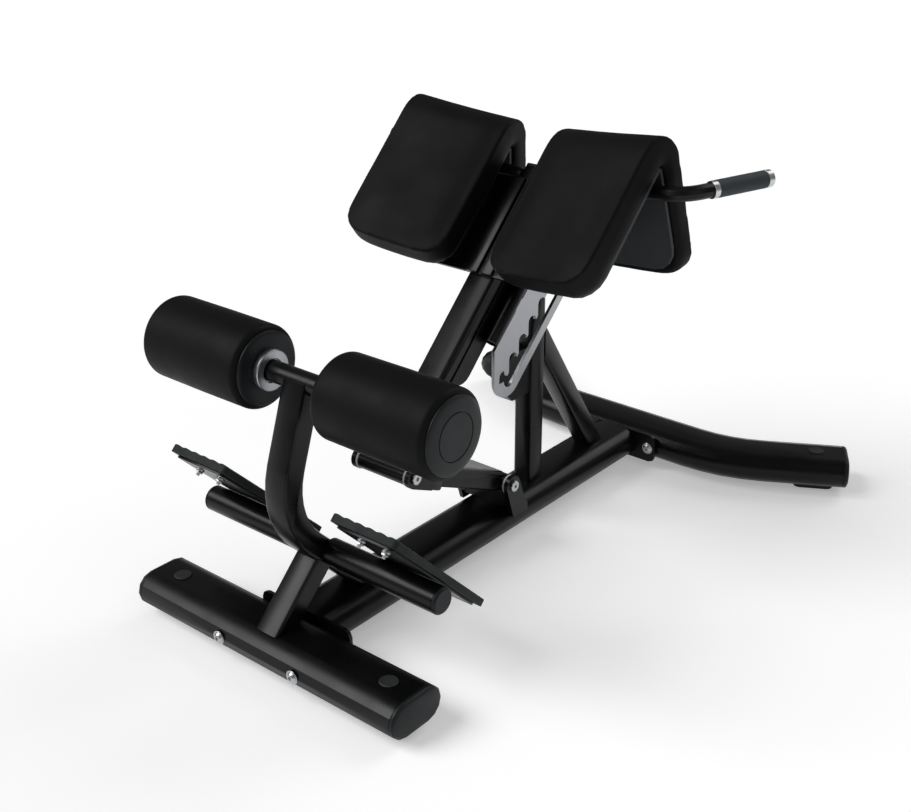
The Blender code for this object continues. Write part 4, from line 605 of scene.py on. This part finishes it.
def build_treads():
    """Rubber foot plates with rounded ribs along them, which scallop their short edges."""
    for side, way in SIDES:
        shape = bmesh.new()
        size = Matrix.Diagonal((TREAD_WIDTH, TREAD_LENGTH, TREAD_THICK, 1))
        bmesh.ops.create_cube(shape, size=1.0, matrix=size)
        upright = [
            e for e in shape.edges
            if abs((e.verts[0].co - e.verts[1].co).normalized().z) > 0.9]
        bmesh.ops.bevel(
            shape, geom=upright, offset=TREAD_CORNER, segments=6, profile=0.5, affect="EDGES",
            material=-1)
        count = TREAD_RIBS * RIB_STEPS
        for k in range(1, count):
            everything = shape.verts[:] + shape.edges[:] + shape.faces[:]
            spot = X_AXIS * (k / count - 0.5) * TREAD_WIDTH
            bmesh.ops.bisect_plane(shape, geom=everything, plane_co=spot, plane_no=X_AXIS)
        for vert in shape.verts:
            if vert.co.z > 0:
                hump = abs(sin((vert.co.x / TREAD_WIDTH + 0.5) * pi * TREAD_RIBS))
                vert.co.z -= TREAD_RIB_HEIGHT * (1 - hump)
        middle = FOOT_BAR + FOOT_DOWN * (TREAD_LENGTH / 2 - TREAD_ABOVE_BAR)
        middle = middle + FOOT_OUT * (TREAD_BOTTOM + TREAD_THICK / 2)
        middle.x = way * (TREAD_INNER_X + TREAD_WIDTH / 2)
        bmesh.ops.transform(
            shape, matrix=placement(middle, FOOT_OUT, X_AXIS), verts=shape.verts)
        tread = mesh_object("ribbed_tread_" + side, shape, "tread", 50)
        break_edges(tread, TREAD_EDGE, 60)
        stand_for(tread, "foot_plate_" + side)


def build_foot_screws():
    """Nuts under the backing plates, on washers, with the screws' threaded ends below them."""
    top = SCREW_WASHER_THICK
    low = SCREW_NUT_END
    washer_edge = SCREW_WASHER_RADIUS - CHAMFER
    nut_edge = SCREW_NUT_RADIUS
    thread = SCREW_RADIUS
    washer = [
        (0, 0), (washer_edge, 0), (SCREW_WASHER_RADIUS, CHAMFER * 2), (washer_edge, top),
        (0, top)]
    nut = [
        (0, top), (nut_edge - CHAMFER, top), (nut_edge, top + CHAMFER * 2),
        (nut_edge, low - CHAMFER * 2.5), (nut_edge - CHAMFER * 3, low), (0, low)]
    shank = [(0, -SCREW_INSIDE), (thread, -SCREW_INSIDE), (thread, top)]
    shank += [
        (thread - CHAMFER * 2 * (k % 2), low + THREAD_STEP * k) for k in range(THREAD_RINGS)]
    shank += [(thread - CHAMFER * 4, SCREW_END), (0, SCREW_END)]
    for side, way in SIDES:
        for label, turn in (("outer", 1), ("inner", -1)):
            spot = FOOT_BAR + FOOT_DOWN * (FOOT_SCREW_FROM_END - TREAD_ABOVE_BAR)
            spot = spot + FOOT_OUT * BACKING_BOTTOM
            spot.x = way * (
                TREAD_INNER_X + TREAD_WIDTH / 2 + turn * FOOT_SCREW_SPACING / 2)
            under = placement(spot, -FOOT_OUT, X_AXIS)
            shape = together(
                turned(washer, under), turned(nut, under, 6), turned(shank, under, 24))
            node = "foot_screw_" + label + "_" + side
            stand_for(mesh_object("nut_and_thread_" + label + "_" + side, shape, "chrome"), node)


def build_pivot_bolts():
    """Plated bolts through the pivots: a flat round head with a small socket at each end."""
    base = PIVOT_FACE_X
    top = base + PIVOT_HEAD
    half = [
        (0, top - SOCKET_DEPTH),
        (SOCKET_RADIUS, top - SOCKET_DEPTH),
        (SOCKET_RADIUS, top - CHAMFER * 1.5),
        (SOCKET_RADIUS + CHAMFER * 2, top),
    ]
    edge = PIVOT_HEAD_ROUND
    half += arc(PIVOT_HEAD_RADIUS - edge, top - edge, edge, 0, 90, 4)
    half += [(PIVOT_HEAD_RADIUS, base), (PIVOT_SHANK_RADIUS, base)]
    profile = half + [(radius, -height) for radius, height in reversed(half)]
    for label, centre in PIVOT_PLACES.items():
        shape = turned(profile, placement(centre, X_AXIS, Y_AXIS))
        stand_for(mesh_object("socket_bolt_" + label, shape, "chrome"), "pivot_bolt_" + label)


def build_flange_bolts():
    """Domed bolts on washers through the flanges, with nuts on the far side."""
    for end in ("rear", "front"):
        for side, _ in SIDES:
            node = end + "_bolt_" + side
            low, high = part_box(node)
            centre = (Vector(low) + Vector(high)) / 2
            spot = placement(Vector((centre.x, low[1], centre.z)), Y_AXIS, X_AXIS)
            length = high[1] - low[1]
            head = [
                (0, SOCKET_DEPTH), (SOCKET_RADIUS, SOCKET_DEPTH), (SOCKET_RADIUS, CHAMFER * 2)]
            head += arc(FLANGE_DOME_X, FLANGE_DOME_RADIUS, FLANGE_DOME_RADIUS, 180, 125, 5)
            head += [
                (FLANGE_HEAD_RADIUS, FLANGE_SHOULDER), (FLANGE_HEAD_RADIUS, FLANGE_HEAD),
                (0, FLANGE_HEAD)]
            bevel = CHAMFER * 1.5
            washers = [
                [(0, at), (WASHER_RADIUS - bevel, at), (WASHER_RADIUS, at + bevel),
                 (WASHER_RADIUS, at + WASHER_THICK), (0, at + WASHER_THICK)]
                for at in (FLANGE_HEAD - WASHER_THICK, length - FAR_WASHER_FROM_END)]
            nut_start = length - NUT_FROM_END
            nut_end = length - CHAMFER * 4
            nut = [
                (0, nut_start), (NUT_RADIUS - CHAMFER * 2, nut_start),
                (NUT_RADIUS, nut_start + CHAMFER * 3), (NUT_RADIUS, nut_end - CHAMFER * 4),
                (NUT_RADIUS - CHAMFER * 4, nut_end), (0, nut_end)]
            shank = [
                (0, FLANGE_HEAD), (FLANGE_SHANK_RADIUS, FLANGE_HEAD),
                (FLANGE_SHANK_RADIUS, length - CHAMFER * 3),
                (FLANGE_SHANK_RADIUS - CHAMFER * 4, length), (0, length)]
            shape = together(
                turned(head, spot), turned(nut, spot, 6), turned(shank, spot, 24),
                *(turned(washer, spot) for washer in washers))
            stand_for(mesh_object("flange_bolt_" + end + "_" + side, shape, "chrome"), node)


def build_floor():
    """A pale floor, lifted to white where the camera or a reflection sees it.

    The lift is the same in light and shade, so the machine's shadow stays on it.
    """
    material = bpy.data.materials.new("pale_studio_floor")
    material.use_nodes = True
    tree = material.node_tree
    tree.nodes.clear()
    ray = add_node(tree, "ShaderNodeLightPath")
    seen = add_node(
        tree, "ShaderNodeMath", None,
        {0: ray.outputs["Is Camera Ray"], 1: ray.outputs["Is Glossy Ray"]}, operation="MAXIMUM")
    seen = add_node(
        tree, "ShaderNodeMath", None,
        {0: seen.outputs["Value"], 1: ray.outputs["Is Transmission Ray"]}, operation="MAXIMUM")
    lift = add_node(
        tree, "ShaderNodeMath", {1: FLOOR_LIFT}, {0: seen.outputs["Value"]}, operation="MULTIPLY")
    glow = add_node(tree, "ShaderNodeEmission", None, {"Strength": lift.outputs["Value"]})
    matt = add_node(tree, "ShaderNodeBsdfDiffuse", {"Color": srgb("f2f2f2")})
    both = add_node(
        tree, "ShaderNodeAddShader", None,
        {0: matt.outputs["BSDF"], 1: glow.outputs["Emission"]})
    add_node(tree, "ShaderNodeOutputMaterial", None, {"Surface": both.outputs["Shader"]})
    mesh = bpy.data.meshes.new("studio_floor")
    shape = bmesh.new()
    bmesh.ops.create_grid(shape, x_segments=1, y_segments=1, size=FLOOR_HALF)
    shape.to_mesh(mesh)
    shape.free()
    mesh.materials.append(material)
    floor = bpy.data.objects.new("studio_floor", mesh)
    bpy.context.scene.collection.objects.link(floor)


def build_lamp(name, place, strength, spread):
    """A broad, distant lamp that shines from the side of a place towards the machine."""
    data = bpy.data.lights.new(name, "SUN")
    data.energy = strength
    data.angle = radians(spread)
    lamp = bpy.data.objects.new(name, data)
    lamp.rotation_euler = (-Vector(place)).to_track_quat("-Z", "Y").to_euler()
    bpy.context.scene.collection.objects.link(lamp)


def build_studio():
    """White surroundings, soft lamps on both sides and behind, and the photo's camera."""
    scene = bpy.context.scene
    world = bpy.data.worlds.new("white_studio")
    world.use_nodes = True
    scene.world = world
    tree = world.node_tree
    tree.nodes["Background"].inputs["Color"].default_value = (1, 1, 1, 1)
    ray = add_node(tree, "ShaderNodeLightPath")
    seen = add_node(
        tree, "ShaderNodeMath", None,
        {0: ray.outputs["Is Camera Ray"], 1: ray.outputs["Is Transmission Ray"]},
        operation="MAXIMUM")
    strength = add_node(
        tree, "ShaderNodeMapRange", {"To Min": WORLD_LEVEL, "To Max": 1.0},
        {"Value": seen.outputs["Value"]})
    tree.links.new(strength.outputs["Result"], tree.nodes["Background"].inputs["Strength"])
    for name, (place, strength, spread) in LAMPS.items():
        build_lamp(name, place, strength, spread)

    data = bpy.data.cameras.new("photo_camera")
    data.sensor_fit = "HORIZONTAL"
    data.sensor_width = SENSOR
    data.lens = FOCAL_PIXELS / IMAGE_WIDTH * SENSOR
    data.shift_x = SHIFT_X
    data.shift_y = SHIFT_Y
    data.clip_end = 60
    camera = bpy.data.objects.new("photo_camera", data)
    right = (CAMERA_RIGHT - CAMERA_WAY * CAMERA_RIGHT.dot(CAMERA_WAY)).normalized()
    camera.matrix_world = placement(CAMERA_PLACE, -CAMERA_WAY, right)
    scene.collection.objects.link(camera)
    scene.camera = camera
    scene.view_settings.view_transform = "Standard"


build_hip_pads()
build_rollers()
build_treads()
build_foot_screws()
build_pivot_bolts()
build_flange_bolts()
MODELLED = ("hip_pad_", "roller_", "foot_plate_", "foot_screw_", "_bolt_")
for node in sorted(NODES):
    if not any(word in node for word in MODELLED):
        dress(node)
build_floor()
build_studio()
